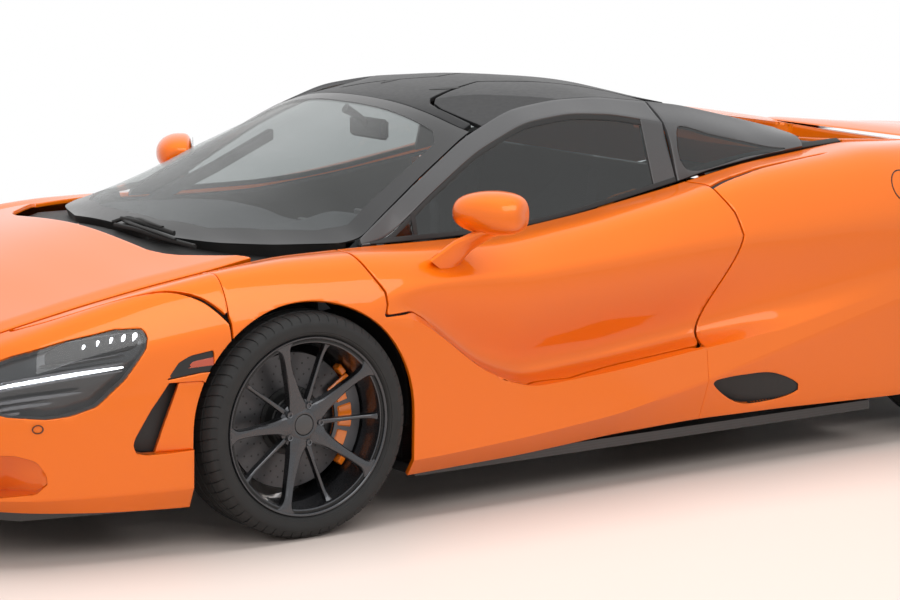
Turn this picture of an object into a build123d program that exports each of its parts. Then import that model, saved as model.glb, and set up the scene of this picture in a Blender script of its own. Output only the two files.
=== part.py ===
from build123d import *
import math
import os

# A two-seat mid-engined supercar, full size, in millimetres.
# +X is forward, +Y is to the left, +Z is up. The origin is on the ground,
# midway along the car's length and midway between its sides.
# Tables give x from the front axle, so behind it is negative.

# ---- driving dimensions
LENGTH = 4569
WHEELBASE = 2670
FRONT_OVERHANG = 1110
REAR_OVERHANG = LENGTH - WHEELBASE - FRONT_OVERHANG
FRONT_AXLE_X = LENGTH / 2 - FRONT_OVERHANG
REAR_AXLE_X = FRONT_AXLE_X - WHEELBASE

SKIN = 22                # thickness of a body panel with its inner frame
ROOF_SKIN = 14
GLASS = 6
SHUT_GAP = 7             # gap between two panels
DOOR_GAP = 8             # gap round the door
BELT_SHIFT = (12, -5)    # from the foot of the side windows to the top edge of the body
TUB_TOP = 390            # top of the tub's side boxes
TUB_HALF_WIDTH = 790
TUB_REAR_X = -1540

# ---- wheels: a table row for each axle
FRONT = dict(
    x=FRONT_AXLE_X, radius=326, width=245, centre_y=838, rim_radius=259,
    face_y=952, disc_radius=197, arch_radius=356, arch_z=327,
)
REAR = dict(
    x=REAR_AXLE_X, radius=345, width=305, centre_y=814, rim_radius=271,
    face_y=960, disc_radius=190, arch_radius=392, arch_z=350,
)
HUB_INSET = 33           # the hub's face lies this far inside the rim's face
HUB_RADIUS = 76
SPOKES = 5               # pairs of spokes
SPOKE_START = 72
TYRE_SIDES = 48          # flats round a tyre
BEAD_DEPTH = 18          # from a sidewall in to the bead
TOW_SOCKET_PLACE = (-220, 400)
TOW_SOCKET_RADIUS = 9
TOW_SOCKET_DEPTH = 80

# ---- the body's lines on its left side, (y, z) where each section cuts them
BODY_LINES = ("sill", "crease", "lip", "channel", "waist", "shoulder", "belt")
BODY = {
    1050: ((520, 176), (560, 205), (570, 300), (575, 400), (560, 470), (520, 520), (430, 540)),
    950: ((700, 162), (740, 195), (745, 300), (745, 410), (730, 500), (690, 560), (600, 580)),
    800: ((800, 150), (830, 190), (835, 300), (835, 420), (815, 540), (760, 620), (680, 638)),
    600: ((860, 138), (885, 190), (890, 320), (888, 460), (870, 600), (800, 690), (725, 692)),
    400: ((890, 130), (920, 190), (925, 340), (920, 500), (900, 630), (825, 740), (752, 735)),
    200: ((905, 127), (932, 190), (940, 360), (937, 520), (922, 650), (840, 772), (755, 765)),
    0: ((910, 125), (938, 190), (948, 400), (948, 560), (937, 665), (850, 785), (745, 787)),
    -250: ((905, 128), (940, 180), (955, 612), (953, 630), (940, 672), (855, 785), (755, 800)),
    -350: ((903, 130), (940, 182), (950, 612), (940, 628), (935, 686), (858, 778), (745, 799)),
    -450: ((900, 132), (940, 185), (945, 540), (918, 556), (930, 700), (860, 772), (738, 797)),
    -600: ((898, 136), (940, 194), (938, 420), (885, 438), (930, 708), (860, 772), (732, 796)),
    -770: ((895, 140), (940, 205), (932, 350), (872, 368), (930, 715), (860, 775), (727, 797)),
    -1100: ((890, 160), (940, 235), (930, 368), (862, 390), (930, 724), (858, 812), (715, 835)),
    -1440: ((895, 172), (944, 300), (932, 404), (872, 430), (932, 742), (850, 868), (700, 888)),
    -1560: ((902, 172), (949, 335), (938, 416), (892, 448), (936, 748), (845, 895), (696, 910)),
    -1770: ((910, 172), (955, 387), (945, 440), (920, 480), (942, 757), (835, 925), (690, 947)),
    -2220: ((930, 165), (965, 497), (960, 530), (955, 570), (958, 780), (835, 960), (640, 985)),
    -2670: ((930, 165), (962, 545), (967, 598), (966, 650), (960, 790), (838, 952), (600, 958)),
    -3080: ((925, 200), (950, 330), (955, 470), (952, 620), (935, 765), (812, 888), (580, 892)),
    -3300: ((850, 245), (890, 330), (900, 460), (898, 600), (880, 730), (772, 838), (560, 842)),
}
TAIL = {-3300: BODY[-3300], -3400: (
    (760, 285), (810, 345), (822, 450), (822, 580), (806, 690), (735, 795), (545, 802))}
# the nose in front of the lid, with the lid's crease and the centre line added
NOSE = {
    930: ((712, 160), (752, 195), (757, 300), (757, 410), (742, 508), (700, 570), (612, 588),
          (545, 600), (0, 616)),
    1050: BODY[1050] + ((400, 548), (0, 552)),
    1110: ((270, 190), (300, 220), (310, 300), (315, 370), (312, 420), (290, 455), (240, 480),
           (150, 488), (0, 490)),
}
# the lid: its edge, its crease and its centre line
LID = {
    915: ((607, 593), (548, 605), (0, 621)),
    800: ((672, 640), (618, 652), (0, 667)),
    600: ((717, 694), (662, 706), (0, 735)),
    400: ((744, 737), (690, 750), (0, 785)),
    200: ((747, 767), (697, 779), (0, 826)),
    55: ((722, 786), (690, 795), (0, 832)),
}
# the canopy: foot of the side glass, its top, the edge of the roof, halfway in, and the middle
CANOPY_LINES = ("foot", "top", "rail", "half", "centre")
CANOPY = {
    -300: ((752, 798), (746, 800), (735, 813), (385, 955), (0, 993)),
    -390: ((741, 795), (733, 803), (708, 865), (380, 997), (0, 1027)),
    -560: ((734, 794), (697, 915), (650, 961), (360, 1063), (0, 1091)),
    -760: ((727, 796), (659, 1035), (592, 1072), (330, 1136), (0, 1159)),
    -950: ((720, 808), (640, 1112), (560, 1146), (320, 1171), (0, 1183)),
    -1130: ((713, 832), (627, 1130), (544, 1166), (310, 1185), (0, 1194)),
    -1300: ((706, 862), (623, 1118), (538, 1166), (300, 1187), (0, 1196)),
    -1500: ((698, 898), (621, 1080), (531, 1141), (295, 1166), (0, 1180)),
    -1640: ((694, 928), (625, 1052), (522, 1122), (288, 1130), (0, 1148)),
    -1880: ((684, 962), (636, 1000), (515, 1068), (280, 1070), (0, 1086)),
    -2060: ((671, 979), (655, 988), (508, 1024), (270, 1018), (0, 1030)),
    -2240: ((642, 985), (632, 990), (500, 985), (260, 962), (0, 968)),
}
# the windscreen: its edge, halfway in, and the middle
WINDSCREEN = {
    140: ((250, 806), (125, 812), (0, 814)),
    60: ((500, 803), (260, 837), (0, 848)),
    -60: ((640, 804), (340, 874), (0, 898)),
    -240: ((706, 816), (385, 930), (0, 966)),
    -390: ((666, 882), (380, 994), (0, 1024)),
    -560: ((610, 974), (360, 1060), (0, 1088)),
    -752: ((552, 1079), (330, 1133), (0, 1156)),
}
# the door's outline from the side, (x, z), below the window
DOOR_SIDE = (
    (-196, 850), (-201, 805), (-267, 687), (-259, 622), (-350, 624), (-450, 552), (-600, 432),
    (-770, 362), (-1100, 380), (-1425, 412), (-1440, 420), (-1581, 748), (-1535, 870), (-1500, 990),
)
# the part of the roof that opens with the door, from above, (x, y)
DOOR_ROOF = (
    (-836, 700), (-836, 573), (-828, 370), (-870, 270), (-1130, 125), (-1400, 280), (-1500, 475),
    (-1500, 700),
)
# what the roof leaves free for it and for the buttresses, from above, (x, y)
ROOF_CLEAR = (
    (-740, 700), (-740, 560), (-824, 540), (-815, 368), (-858, 257), (-1134, 112), (-1410, 269),
    (-1508, 444), (-1660, 444), (-1660, 700),
)


def station(x):
    """The car's own x of a place given from the front axle."""
    return FRONT_AXLE_X + x


def inward(points, wall):
    """The same line a wall's thickness further in, each corner moved along its mean normal."""
    moved = []
    for here, (y, z) in enumerate(points):
        before = points[max(here - 1, 0)]
        after = points[min(here + 1, len(points) - 1)]
        first = (y - before[0], z - before[1]) if here else (after[0] - y, after[1] - z)
        last = (after[0] - y, after[1] - z) if here < len(points) - 1 else first
        normals = [(-dz / math.hypot(dy, dz), dy / math.hypot(dy, dz)) for dy, dz in (first, last)]
        total = (normals[0][0] + normals[1][0], normals[0][1] + normals[1][1])
        scale = 2 * wall / max(total[0] ** 2 + total[1] ** 2, 1.6)
        moved.append((y + scale * total[0], z + scale * total[1]))
    return moved


def skin(rows, wall):
    """A panel lofted through (x, outer line) rows, straight between them, one wall thick."""
    with BuildPart() as panel:
        for x, outer in rows:
            with BuildSketch(Plane.YZ.offset(station(x))):
                with BuildLine():
                    Polyline(*outer, *reversed(inward(outer, wall)), close=True)
                make_face()
        loft(ruled=True)
    return panel.part


def shifted(belt):
    """The top edge of the body, just outside and below the foot of the side windows."""
    return belt[0] + BELT_SHIFT[0], belt[1] + BELT_SHIFT[1]


def block(rows):
    """A solid lofted through (x, left line) rows, mirrored about the car's middle."""
    with BuildPart() as body:
        for x, left in rows:
            right = [(-y, z) for y, z in reversed(left) if y]
            with BuildSketch(Plane.YZ.offset(station(x))):
                with BuildLine():
                    Polyline(*left, *right, close=True)
                make_face()
        loft(ruled=True)
    return body.part


def rows_of(table, names, columns, front, back):
    """The rows of a table from front to back, with only the named columns."""
    places = [names.index(column) for column in columns]
    return [
        (x, [table[x][place] for place in places])
        for x in sorted(table, reverse=True)
        if back <= x <= front
    ]


def across(left):
    """A left line that ends on the middle, carried on to the right."""
    return list(left) + [(-y, z) for y, z in reversed(left) if y]


def side_prism(outline, near_y=0, far_y=1100):
    """A prism on the left side whose outline is (x, z), x from the front axle."""
    with BuildPart() as prism:
        with BuildSketch(Plane.XZ.offset(-near_y)):
            with BuildLine():
                Polyline(*[(station(x), z) for x, z in outline], close=True)
            make_face()
        extrude(amount=-(far_y - near_y))
    return prism.part


def plan_prism(outline, bottom, top):
    """A prism whose outline from above is (x, y), x from the front axle."""
    with BuildPart() as prism:
        with BuildSketch(Plane.XY.offset(bottom)):
            with BuildLine():
                Polyline(*[(station(x), y) for x, y in outline], close=True)
            make_face()
        extrude(amount=top - bottom)
    return prism.part


def brick_at(x, y, z):
    """A box from three (low, high) pairs."""
    with BuildPart() as box:
        with BuildSketch(Plane.XY.offset(min(z))):
            with Locations(((x[0] + x[1]) / 2, (y[0] + y[1]) / 2)):
                Rectangle(abs(x[1] - x[0]), abs(y[1] - y[0]))
        extrude(amount=abs(z[1] - z[0]))
    return box.part


def brick(x, y, z):
    """A box from three (low, high) pairs, x from the front axle."""
    return brick_at((station(x[0]), station(x[1])), y, z)


def finish(builder, label):
    """Name a piece and write it."""
    builder.part.label = label
    export_step(builder.part, f"parts/{label}.step")


def both_sides(left, label):
    """Write a left piece and its mirror image as two nodes."""
    finish(left, f"{label}_left")
    with BuildPart() as right:
        add(left.part.mirror(Plane.XZ))
    finish(right, f"{label}_right")


def paired(left, label):
    """Write a left piece and its mirror image as the two solids of one node."""
    with BuildPart() as pair:
        add(left.part)
        add(left.part.mirror(Plane.XZ))
    finish(pair, label)


os.makedirs("parts", exist_ok=True)


# ---- openings shared by several panels
def arch_cutter(axle, grow=0, inner_y=500):
    """The wheel arch's opening: an arch over the wheel and a straight part below it."""
    radius = axle["arch_radius"] + grow
    with BuildPart() as cutter:
        with BuildSketch(Plane.XZ.offset(-inner_y)):
            with Locations((axle["x"], axle["arch_z"])):
                Circle(radius)
            with Locations((axle["x"], axle["arch_z"] / 2)):
                Rectangle(2 * radius, axle["arch_z"])
        extrude(amount=-700)
    return cutter.part


FENDER_REAR_X = 236      # behind this the fender takes all above the arch


def fender_region(gap):
    """What lies behind and above the shut line between the bumper and the front fender."""
    with BuildPart() as region:
        add(plan_prism((
            (790, 690 + gap), (620, 765 + gap), (500, 800 + gap), (395, 840 + gap),
            (229, 925 + gap), (229, 560), (790, 560)), 560, 900))
        rear_x = FENDER_REAR_X + gap
        add(side_prism(((rear_x, 900), (rear_x, 560), (-300, 560), (-300, 900)), 560))
    return region.part


def grown_door(gap):
    """The door's outline from the side, widened by the gap round it."""
    middle = (-850, 640)
    grown = []
    for x, z in DOOR_SIDE:
        reach = math.hypot(x - middle[0], z - middle[1])
        grown.append((x + gap * (x - middle[0]) / reach, z + gap * (z - middle[1]) / reach))
    return grown


FRONT_ARCH = arch_cutter(FRONT)
REAR_ARCH = arch_cutter(REAR)
LAMP_OUTLINE = (
    (483, 645), (478, 598), (545, 515), (629, 441), (760, 416), (860, 425), (955, 458),
    (985, 492), (930, 545), (828, 586), (690, 622), (560, 645),
)
VENT_OUTLINE = ((388, 488), (425, 492), (528, 335), (512, 306), (430, 300), (376, 320))
MARKER_OUTLINE = ((290, 512), (430, 503), (395, 545), (360, 562), (290, 568))
SIDE_INLET = (
    (-1512, 238), (-1560, 222), (-1700, 226), (-1795, 262), (-1760, 284), (-1640, 294))
NOSE_INTAKE = ((1030, 1200), (-230, 230), (215, 330))
CORNER_INTAKE = ((765, 262), (815, 312), (905, 318), (985, 300), (985, 215), (790, 205))

# ---- front bumper with its nose
side_rows = [(930, NOSE[930][:7])] + rows_of(BODY, BODY_LINES, BODY_LINES, 800, 0)
with BuildPart() as bumper_side:
    add(skin(side_rows, SKIN))
    for cutter in (fender_region(0), FRONT_ARCH, side_prism(VENT_OUTLINE, 500),
                   side_prism(MARKER_OUTLINE, 500)):
        add(cutter, mode=Mode.SUBTRACT)
NOSE_OVERLAP = 4         # the nose runs this far back into the sides
with BuildPart() as front_bumper:
    nose_rows = [
        (x - NOSE_OVERLAP * (x == min(NOSE)), NOSE[x]) for x in sorted(NOSE, reverse=True)]
    add(block(nose_rows))
    add(bumper_side.part)
    add(bumper_side.part.mirror(Plane.XZ))
    for outline, near_y in ((LAMP_OUTLINE, 470), (CORNER_INTAKE, 470)):
        prism = side_prism(outline, near_y)
        add(prism, mode=Mode.SUBTRACT)
        add(prism.mirror(Plane.XZ), mode=Mode.SUBTRACT)
    add(brick(*NOSE_INTAKE), mode=Mode.SUBTRACT)
    with BuildSketch(Plane.YZ.offset(station(FRONT_OVERHANG))):
        with Locations(TOW_SOCKET_PLACE):
            Circle(TOW_SOCKET_RADIUS)
    extrude(amount=-TOW_SOCKET_DEPTH, mode=Mode.SUBTRACT)
finish(front_bumper, "front_bumper")

# ---- grilles behind the bumper's openings and the inlets ahead of the rear wheels
BACKING = 8              # thickness of a plate behind an opening
BACKING_GAP = SKIN + 1   # from the body's surface in to such a plate
BACKING_REACH = 12       # how far it runs past its opening


def widened(outline, reach):
    """An outline with each corner moved away from the outline's middle."""
    middle_x = sum(x for x, z in outline) / len(outline)
    middle_z = sum(z for x, z in outline) / len(outline)
    moved = []
    for x, z in outline:
        length = math.hypot(x - middle_x, z - middle_z)
        moved.append((x + reach * (x - middle_x) / length, z + reach * (z - middle_z) / length))
    return moved


def backing(rows, outline):
    """A plate that follows the body just behind an opening in it."""
    with BuildPart() as plate:
        add(skin([(x, inward(line, BACKING_GAP)) for x, line in rows], BACKING))
        add(side_prism(widened(outline, BACKING_REACH), 500), mode=Mode.INTERSECT)
    return plate.part


GRILLE_BARS = (9, 4)     # openings across and up
GRILLE_PITCH = (48, 26)
GRILLE_HOLE = (40, 19)
(nose_x, _), nose_y, nose_z = NOSE_INTAKE
with BuildPart() as nose_grille:
    with BuildSketch(Plane.YZ.offset(station(nose_x))):
        with Locations((0, sum(nose_z) / 2)):
            Rectangle(nose_y[1] - nose_y[0], nose_z[1] - nose_z[0])
            with GridLocations(*GRILLE_PITCH, *GRILLE_BARS):
                Rectangle(*GRILLE_HOLE, mode=Mode.SUBTRACT)
    extrude(amount=BACKING)
left_grilles = (
    side_prism(CORNER_INTAKE, 600, 600 + BACKING),
    backing(rows_of(BODY, BODY_LINES, ("lip", "channel", "waist"), 600, 200), VENT_OUTLINE),
    backing(rows_of(BODY, BODY_LINES, ("sill", "crease"), -1440, -2220), SIDE_INLET))
with BuildPart() as grilles:
    add(nose_grille.part)
    for plate in left_grilles:
        add(plate)
        add(plate.mirror(Plane.XZ))
finish(grilles, "grilles")

# ---- headlamps, set into the bumper, and the marker lamps ahead of the front wheels
LAMP_INSET = 14
LAMP_DEPTH = 60
lamp_rows = [(1050, BODY[1050]), (930, NOSE[930][:7])]
lamp_rows += rows_of(BODY, BODY_LINES, BODY_LINES, 800, 400)
with BuildPart() as headlamp:
    add(skin([(x, inward(line[2:6], LAMP_INSET)) for x, line in lamp_rows], LAMP_DEPTH))
    add(side_prism(LAMP_OUTLINE, 480), mode=Mode.INTERSECT)
MARKER_INSET = 3
MARKER_DEPTH = 16
marker_rows = rows_of(BODY, BODY_LINES, ("lip", "channel", "waist"), 600, 200)
with BuildPart() as marker_lamp:
    add(skin([(x, inward(line, MARKER_INSET)) for x, line in marker_rows], MARKER_DEPTH))
    add(side_prism(MARKER_OUTLINE, 500), mode=Mode.INTERSECT)
    add(FRONT_ARCH, mode=Mode.SUBTRACT)
with BuildPart() as lamps:
    add(headlamp.part)
    add(marker_lamp.part)
paired(lamps, "headlamps")

# ---- front lid over the luggage tub
lid_shell = skin([(x, across(LID[x])) for x in sorted(LID, reverse=True)], SKIN)
LID_REAR_EDGE = ((250, 0), (246, 450), (205, 570), (125, 655), (58, 715), (58, 730))
with BuildPart() as front_lid:
    add(lid_shell)
    cutter = plan_prism(((20, 0),) + LID_REAR_EDGE + ((20, 730),), 600, 1000)
    add(cutter, mode=Mode.SUBTRACT)
    add(cutter.mirror(Plane.XZ), mode=Mode.SUBTRACT)
finish(front_lid, "front_lid")

# ---- black cowl between the lid's rear edge and the foot of the windscreen
COWL_DROP = 40
COWL_OUTLINE = (
    (236, 0), (232, 440), (192, 558), (112, 642), (50, 696), (-60, 722), (-60, 655), (60, 504),
    (146, 254), (150, 0))
left_region = plan_prism(COWL_OUTLINE, 600, 1000)
with BuildPart() as cowl_region:
    add(left_region)
    add(left_region.mirror(Plane.XZ))
with BuildPart() as cowl:
    add(lid_shell.moved(Location((0, 0, -COWL_DROP))))
    add(cowl_region.part, mode=Mode.INTERSECT)
finish(cowl, "cowl")

# ---- front fenders
fender_rows = [
    (x, line[3:]) for x, line in rows_of(BODY, BODY_LINES, BODY_LINES, 800, -350)]
with BuildPart() as front_fender:
    add(skin(fender_rows, SKIN))
    add(fender_region(-SHUT_GAP), mode=Mode.INTERSECT)
    add(FRONT_ARCH, mode=Mode.SUBTRACT)
    add(side_prism(grown_door(DOOR_GAP), 500), mode=Mode.SUBTRACT)
paired(front_fender, "front_fenders")

# ---- sills, with the lip that runs up to the front arch
SILL_LINES = ("sill", "crease", "lip")
with BuildPart() as sill:
    add(skin(rows_of(BODY, BODY_LINES, SILL_LINES, -250, -1440), SKIN))
    add(FRONT_ARCH, mode=Mode.SUBTRACT)
    add(side_prism(grown_door(DOOR_GAP), 500), mode=Mode.SUBTRACT)
with BuildPart() as rear_sill:
    add(skin(rows_of(BODY, BODY_LINES, SILL_LINES[:2], -1440, -2220), SKIN))
    for cutter in (REAR_ARCH, side_prism(SIDE_INLET, 500)):
        add(cutter, mode=Mode.SUBTRACT)
with BuildPart() as whole_sill:
    add(sill.part)
    add(rear_sill.part)
paired(whole_sill, "sills")

# ---- doors
DOOR_LINES = ("lip", "channel", "waist", "shoulder", "belt")
# how far in and down the inner side of the door lies from its outer line
DOOR_INNER = ((-78, 0), (-55, 4), (-85, -8), (-52, -30), (-24, -40))
DOOR_FLANGE = 6          # thickness of the flange round the door
DOOR_FLANGE_WIDTH = 36
door_rows = [
    (x, line[:-1] + [shifted(line[-1])])
    for x, line in rows_of(BODY, BODY_LINES, DOOR_LINES, 0, -1770)]
with BuildPart() as door_core:
    for x, outer in door_rows:
        inner = [(y + in_y, z + in_z) for (y, z), (in_y, in_z) in zip(outer, DOOR_INNER)]
        with BuildSketch(Plane.YZ.offset(station(x))):
            with BuildLine():
                Polyline(*outer, *reversed(inner), close=True)
            make_face()
    loft(ruled=True)
    add(side_prism(grown_door(-DOOR_FLANGE_WIDTH), 500), mode=Mode.INTERSECT)
    add(brick((TUB_REAR_X - 60, -400), (500, TUB_HALF_WIDTH + 12), (0, TUB_TOP + 14)),
        mode=Mode.SUBTRACT)
with BuildPart() as door:
    add(skin(door_rows, DOOR_FLANGE))
    add(side_prism(DOOR_SIDE, 500), mode=Mode.INTERSECT)
    add(door_core.part)
both_sides(door, "door")

# ---- door frames: the arc over the window and the part of the roof that opens with it
ARC_SKIN = 16
arc_rows = rows_of(CANOPY, CANOPY_LINES, ("top", "rail"), -390, -1500)
roof_rows = rows_of(CANOPY, CANOPY_LINES, ("rail", "half", "centre"), -760, -1640)
roof_shell = skin([(x, across(line)) for x, line in roof_rows], ROOF_SKIN)
roof_cut = plan_prism(DOOR_ROOF, 900, 1300)
roof_clear = plan_prism(ROOF_CLEAR, 900, 1300)
with BuildPart() as door_roof:
    add(roof_shell)
    add(roof_cut, mode=Mode.INTERSECT)
with BuildPart() as rear_post:
    add(skin(rows_of(CANOPY, CANOPY_LINES, ("foot", "top"), -1300, -1500), ARC_SKIN))
    add(side_prism(((-1445, 800), (-1445, 1200), (-1500, 1200), (-1500, 800)), 400),
        mode=Mode.INTERSECT)
with BuildPart() as door_frame:
    add(skin(arc_rows, ARC_SKIN))
    add(door_roof.part)
    add(rear_post.part)
both_sides(door_frame, "door_frame")

GLASS_EDGE = 12          # the glass ends this far below the arc's lower edge
glass_rows = []
for x, (foot, top) in rows_of(CANOPY, CANOPY_LINES, ("foot", "top"), -390, -1500):
    share = 1 - min(GLASS_EDGE / math.hypot(top[0] - foot[0], top[1] - foot[1]), 0.5)
    edge = (foot[0] + share * (top[0] - foot[0]), foot[1] + share * (top[1] - foot[1]))
    glass_rows.append((x, [foot, edge]))
with BuildPart() as door_glass:
    add(skin(glass_rows, GLASS))
    add(side_prism(((-395, 700), (-395, 1200), (-1443, 1200), (-1443, 700)), 400),
        mode=Mode.INTERSECT)
both_sides(door_glass, "door_glass")

# ---- roof: the header, the spine between the doors and the rear of the cabin
with BuildPart() as roof:
    add(roof_shell)
    for side in (roof_clear, roof_clear.mirror(Plane.XZ)):
        add(side, mode=Mode.SUBTRACT)
finish(roof, "roof")

with BuildPart() as windscreen:
    add(skin([(x, across(WINDSCREEN[x])) for x in sorted(WINDSCREEN, reverse=True)], GLASS))
finish(windscreen, "windscreen")

# ---- front pillars, inside the door's arc
PILLAR_INSET = 82
PILLAR_SIZE = 34
pillar_rows = [
    (x, inward(line, PILLAR_INSET))
    for x, line in rows_of(CANOPY, CANOPY_LINES, ("top", "rail"), -300, -760)]
with BuildPart() as front_pillar:
    for x, line in pillar_rows:
        y = sum(point[0] for point in line) / 2
        z = sum(point[1] for point in line) / 2
        with BuildSketch(Plane.YZ.offset(station(x))):
            with Locations((y, z)):
                Rectangle(PILLAR_SIZE, PILLAR_SIZE)
    loft(ruled=True)
paired(front_pillar, "front_pillars")

# ---- behind the doors: black side panels with the buttresses, and their windows
BUTTRESS_WIDTH = 70
side_rows = []
for x, line in rows_of(CANOPY, CANOPY_LINES, ("foot", "top", "rail"), -1500, -2240):
    rail_y, rail_z = line[-1]
    side_rows.append((x - SHUT_GAP * (x == -1500), line + [(rail_y - BUTTRESS_WIDTH, rail_z - 6)]))
window_rows = [(x, line[:2]) for x, line in side_rows]
WINDOW_SIDE = ((-1560, 938), (-1560, 1055), (-1660, 1036), (-1860, 992), (-1960, 975), (-1640, 945))
with BuildPart() as quarter_panel:
    add(skin(side_rows, ROOF_SKIN))
    add(side_prism(WINDOW_SIDE, 560), mode=Mode.SUBTRACT)
    add(side_prism(grown_door(DOOR_GAP), 500), mode=Mode.SUBTRACT)
paired(quarter_panel, "canopy_sides")
with BuildPart() as quarter_window:
    add(skin(window_rows, GLASS))
    add(side_prism(WINDOW_SIDE, 560), mode=Mode.INTERSECT)

# ---- rear screen between the buttresses
SCREEN_DROP = 8
with BuildPart() as rear_screen:
    screen_rows = []
    for x, line in rows_of(CANOPY, CANOPY_LINES, ("rail", "half", "centre"), -1640, -2240):
        edge_y, edge_z = line[0]
        left = [(edge_y - BUTTRESS_WIDTH - 2, edge_z - SCREEN_DROP), line[1], line[2]]
        screen_rows.append((x - 2 * (x == -1640), across(left)))
    add(skin(screen_rows, GLASS))
    add(quarter_window.part)
    add(quarter_window.part.mirror(Plane.XZ))
finish(rear_screen, "rear_windows")

# ---- rear quarters, from the door back over the rear wheels
QUARTER_LINES = BODY_LINES[1:]
with BuildPart() as rear_quarter:
    quarter_rows = rows_of(BODY, BODY_LINES, QUARTER_LINES, -1440, -3300)
    add(skin([(x, line[:-1] + [shifted(line[-1])]) for x, line in quarter_rows], SKIN))
    add(side_prism(((-1420, 200), (-1447, 404), (-1590, 748), (-1543, 870), (-1508, 990),
                    (-1300, 990), (-1300, 200)), 500), mode=Mode.SUBTRACT)
    add(REAR_ARCH, mode=Mode.SUBTRACT)
    add(whole_sill.part, mode=Mode.SUBTRACT)
paired(rear_quarter, "rear_quarters")

# ---- rear deck between the quarters
DECK = {
    -2250: ((634, 984), (300, 966), (0, 960)),
    -2670: ((594, 957), (300, 932), (0, 922)),
    -3080: ((574, 891), (300, 886), (0, 884)),
    -3300: ((554, 839), (300, 845), (0, 848)),
}
with BuildPart() as rear_deck:
    add(skin([(x, across(DECK[x])) for x in sorted(DECK, reverse=True)], SKIN))
finish(rear_deck, "rear_deck")

# ---- rear bumper, with the openings for the mesh and the diffuser
BUMPER_FRONT_X = -3307
MESH_HALF_WIDTH = 640
MESH_BOTTOM = 470
MESH_TOP = 740
DIFFUSER_HALF_WIDTH = 600
DIFFUSER_TOP = 395
with BuildPart() as rear_bumper:
    rows = [(x + (BUMPER_FRONT_X + 3300) * (x == -3300), TAIL[x]) for x in (-3300, -3400)]
    add(block(rows))
    corner = skin(rows_of(BODY, BODY_LINES, ("sill", "crease"), -3080, -3300)
                  + [(-3400, TAIL[-3400][:2])], SKIN)
    for piece in (corner, corner.mirror(Plane.XZ)):
        add(piece)
    for piece in (rear_quarter.part, rear_quarter.part.mirror(Plane.XZ)):
        add(piece, mode=Mode.SUBTRACT)
    with BuildSketch(Plane.YZ.offset(station(BUMPER_FRONT_X + 10))):
        with Locations((0, (MESH_BOTTOM + MESH_TOP) / 2)):
            Rectangle(2 * MESH_HALF_WIDTH, MESH_TOP - MESH_BOTTOM)
        with Locations((0, DIFFUSER_TOP / 2)):
            Rectangle(2 * DIFFUSER_HALF_WIDTH, DIFFUSER_TOP)
    extrude(amount=-140, mode=Mode.SUBTRACT)
finish(rear_bumper, "rear_bumper")

MESH_X = -3352
with BuildPart() as rear_mesh:
    with BuildSketch(Plane.YZ.offset(station(MESH_X))):
        with Locations((0, (MESH_BOTTOM + MESH_TOP) / 2)):
            Rectangle(2 * MESH_HALF_WIDTH, MESH_TOP - MESH_BOTTOM)
    extrude(amount=12)
finish(rear_mesh, "rear_mesh")

LAMP_HEIGHT = 14
with BuildPart() as tail_lamp:
    with BuildSketch(Plane.YZ.offset(station(MESH_X))):
        with BuildLine():
            Polyline((200, MESH_TOP - 30), (600, MESH_TOP - 50), (600, MESH_TOP - 50 - LAMP_HEIGHT),
                     (200, MESH_TOP - 30 - LAMP_HEIGHT), close=True)
        make_face()
    extrude(amount=-25)
paired(tail_lamp, "tail_lamps")

EXHAUST_Y = 105
EXHAUST_Z = 620
EXHAUST_RADIUS = 48
with BuildPart() as exhaust:
    with BuildSketch(Plane.YZ.offset(station(MESH_X))):
        with Locations((EXHAUST_Y, EXHAUST_Z)):
            Circle(EXHAUST_RADIUS)
            Circle(EXHAUST_RADIUS - 4, mode=Mode.SUBTRACT)
    extrude(amount=-55)
paired(exhaust, "exhausts")

# ---- diffuser, rising to the tail, with its fins
TAIL_X = -(WHEELBASE + REAR_OVERHANG)
FIN_PLACES = (-540, -350, -160, 160, 350, 540)
FIN_SKIN = 10
DIFFUSER_FRONT = (-3050, 140)
DIFFUSER_REAR = (-3435, 330)
DIFFUSER_SKIN = 22
with BuildPart() as diffuser:
    with BuildSketch(Plane.XZ.offset(-(DIFFUSER_HALF_WIDTH - 5))):
        with BuildLine():
            Polyline((station(DIFFUSER_FRONT[0]), DIFFUSER_FRONT[1]),
                     (station(DIFFUSER_REAR[0]), DIFFUSER_REAR[1]),
                     (station(DIFFUSER_REAR[0]), DIFFUSER_REAR[1] + DIFFUSER_SKIN),
                     (station(DIFFUSER_FRONT[0]), DIFFUSER_FRONT[1] + DIFFUSER_SKIN), close=True)
        make_face()
    extrude(amount=2 * (DIFFUSER_HALF_WIDTH - 5))
finish(diffuser, "diffuser")

with BuildPart() as diffuser_fins:
    for y in FIN_PLACES:
        with BuildSketch(Plane.XZ.offset(-y)):
            with BuildLine():
                Polyline((station(-3080), 156), (station(-3400), 130), (station(TAIL_X), 180),
                         (station(-3432), 340), close=True)
            make_face()
        extrude(amount=FIN_SKIN)
    add(diffuser.part, mode=Mode.SUBTRACT)
finish(diffuser_fins, "diffuser_fins")

# ---- rear wing, flush with the deck when it is down
WING_HALF_WIDTH = 790
with BuildPart() as rear_wing:
    for y, shift in ((-WING_HALF_WIDTH, 40), (0, 0), (WING_HALF_WIDTH, 40)):
        with BuildSketch(Plane.XZ.offset(-y)):
            with BuildLine():
                Polyline((station(-3040 - shift), 915), (station(-3120), 932),
                         (station(-3300), 942), (station(-3425 + shift), 968),
                         (station(-3428 + shift), 952), (station(-3300), 914),
                         (station(-3120), 904), close=True)
            make_face()
    loft(ruled=True)
finish(rear_wing, "rear_wing")

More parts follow.
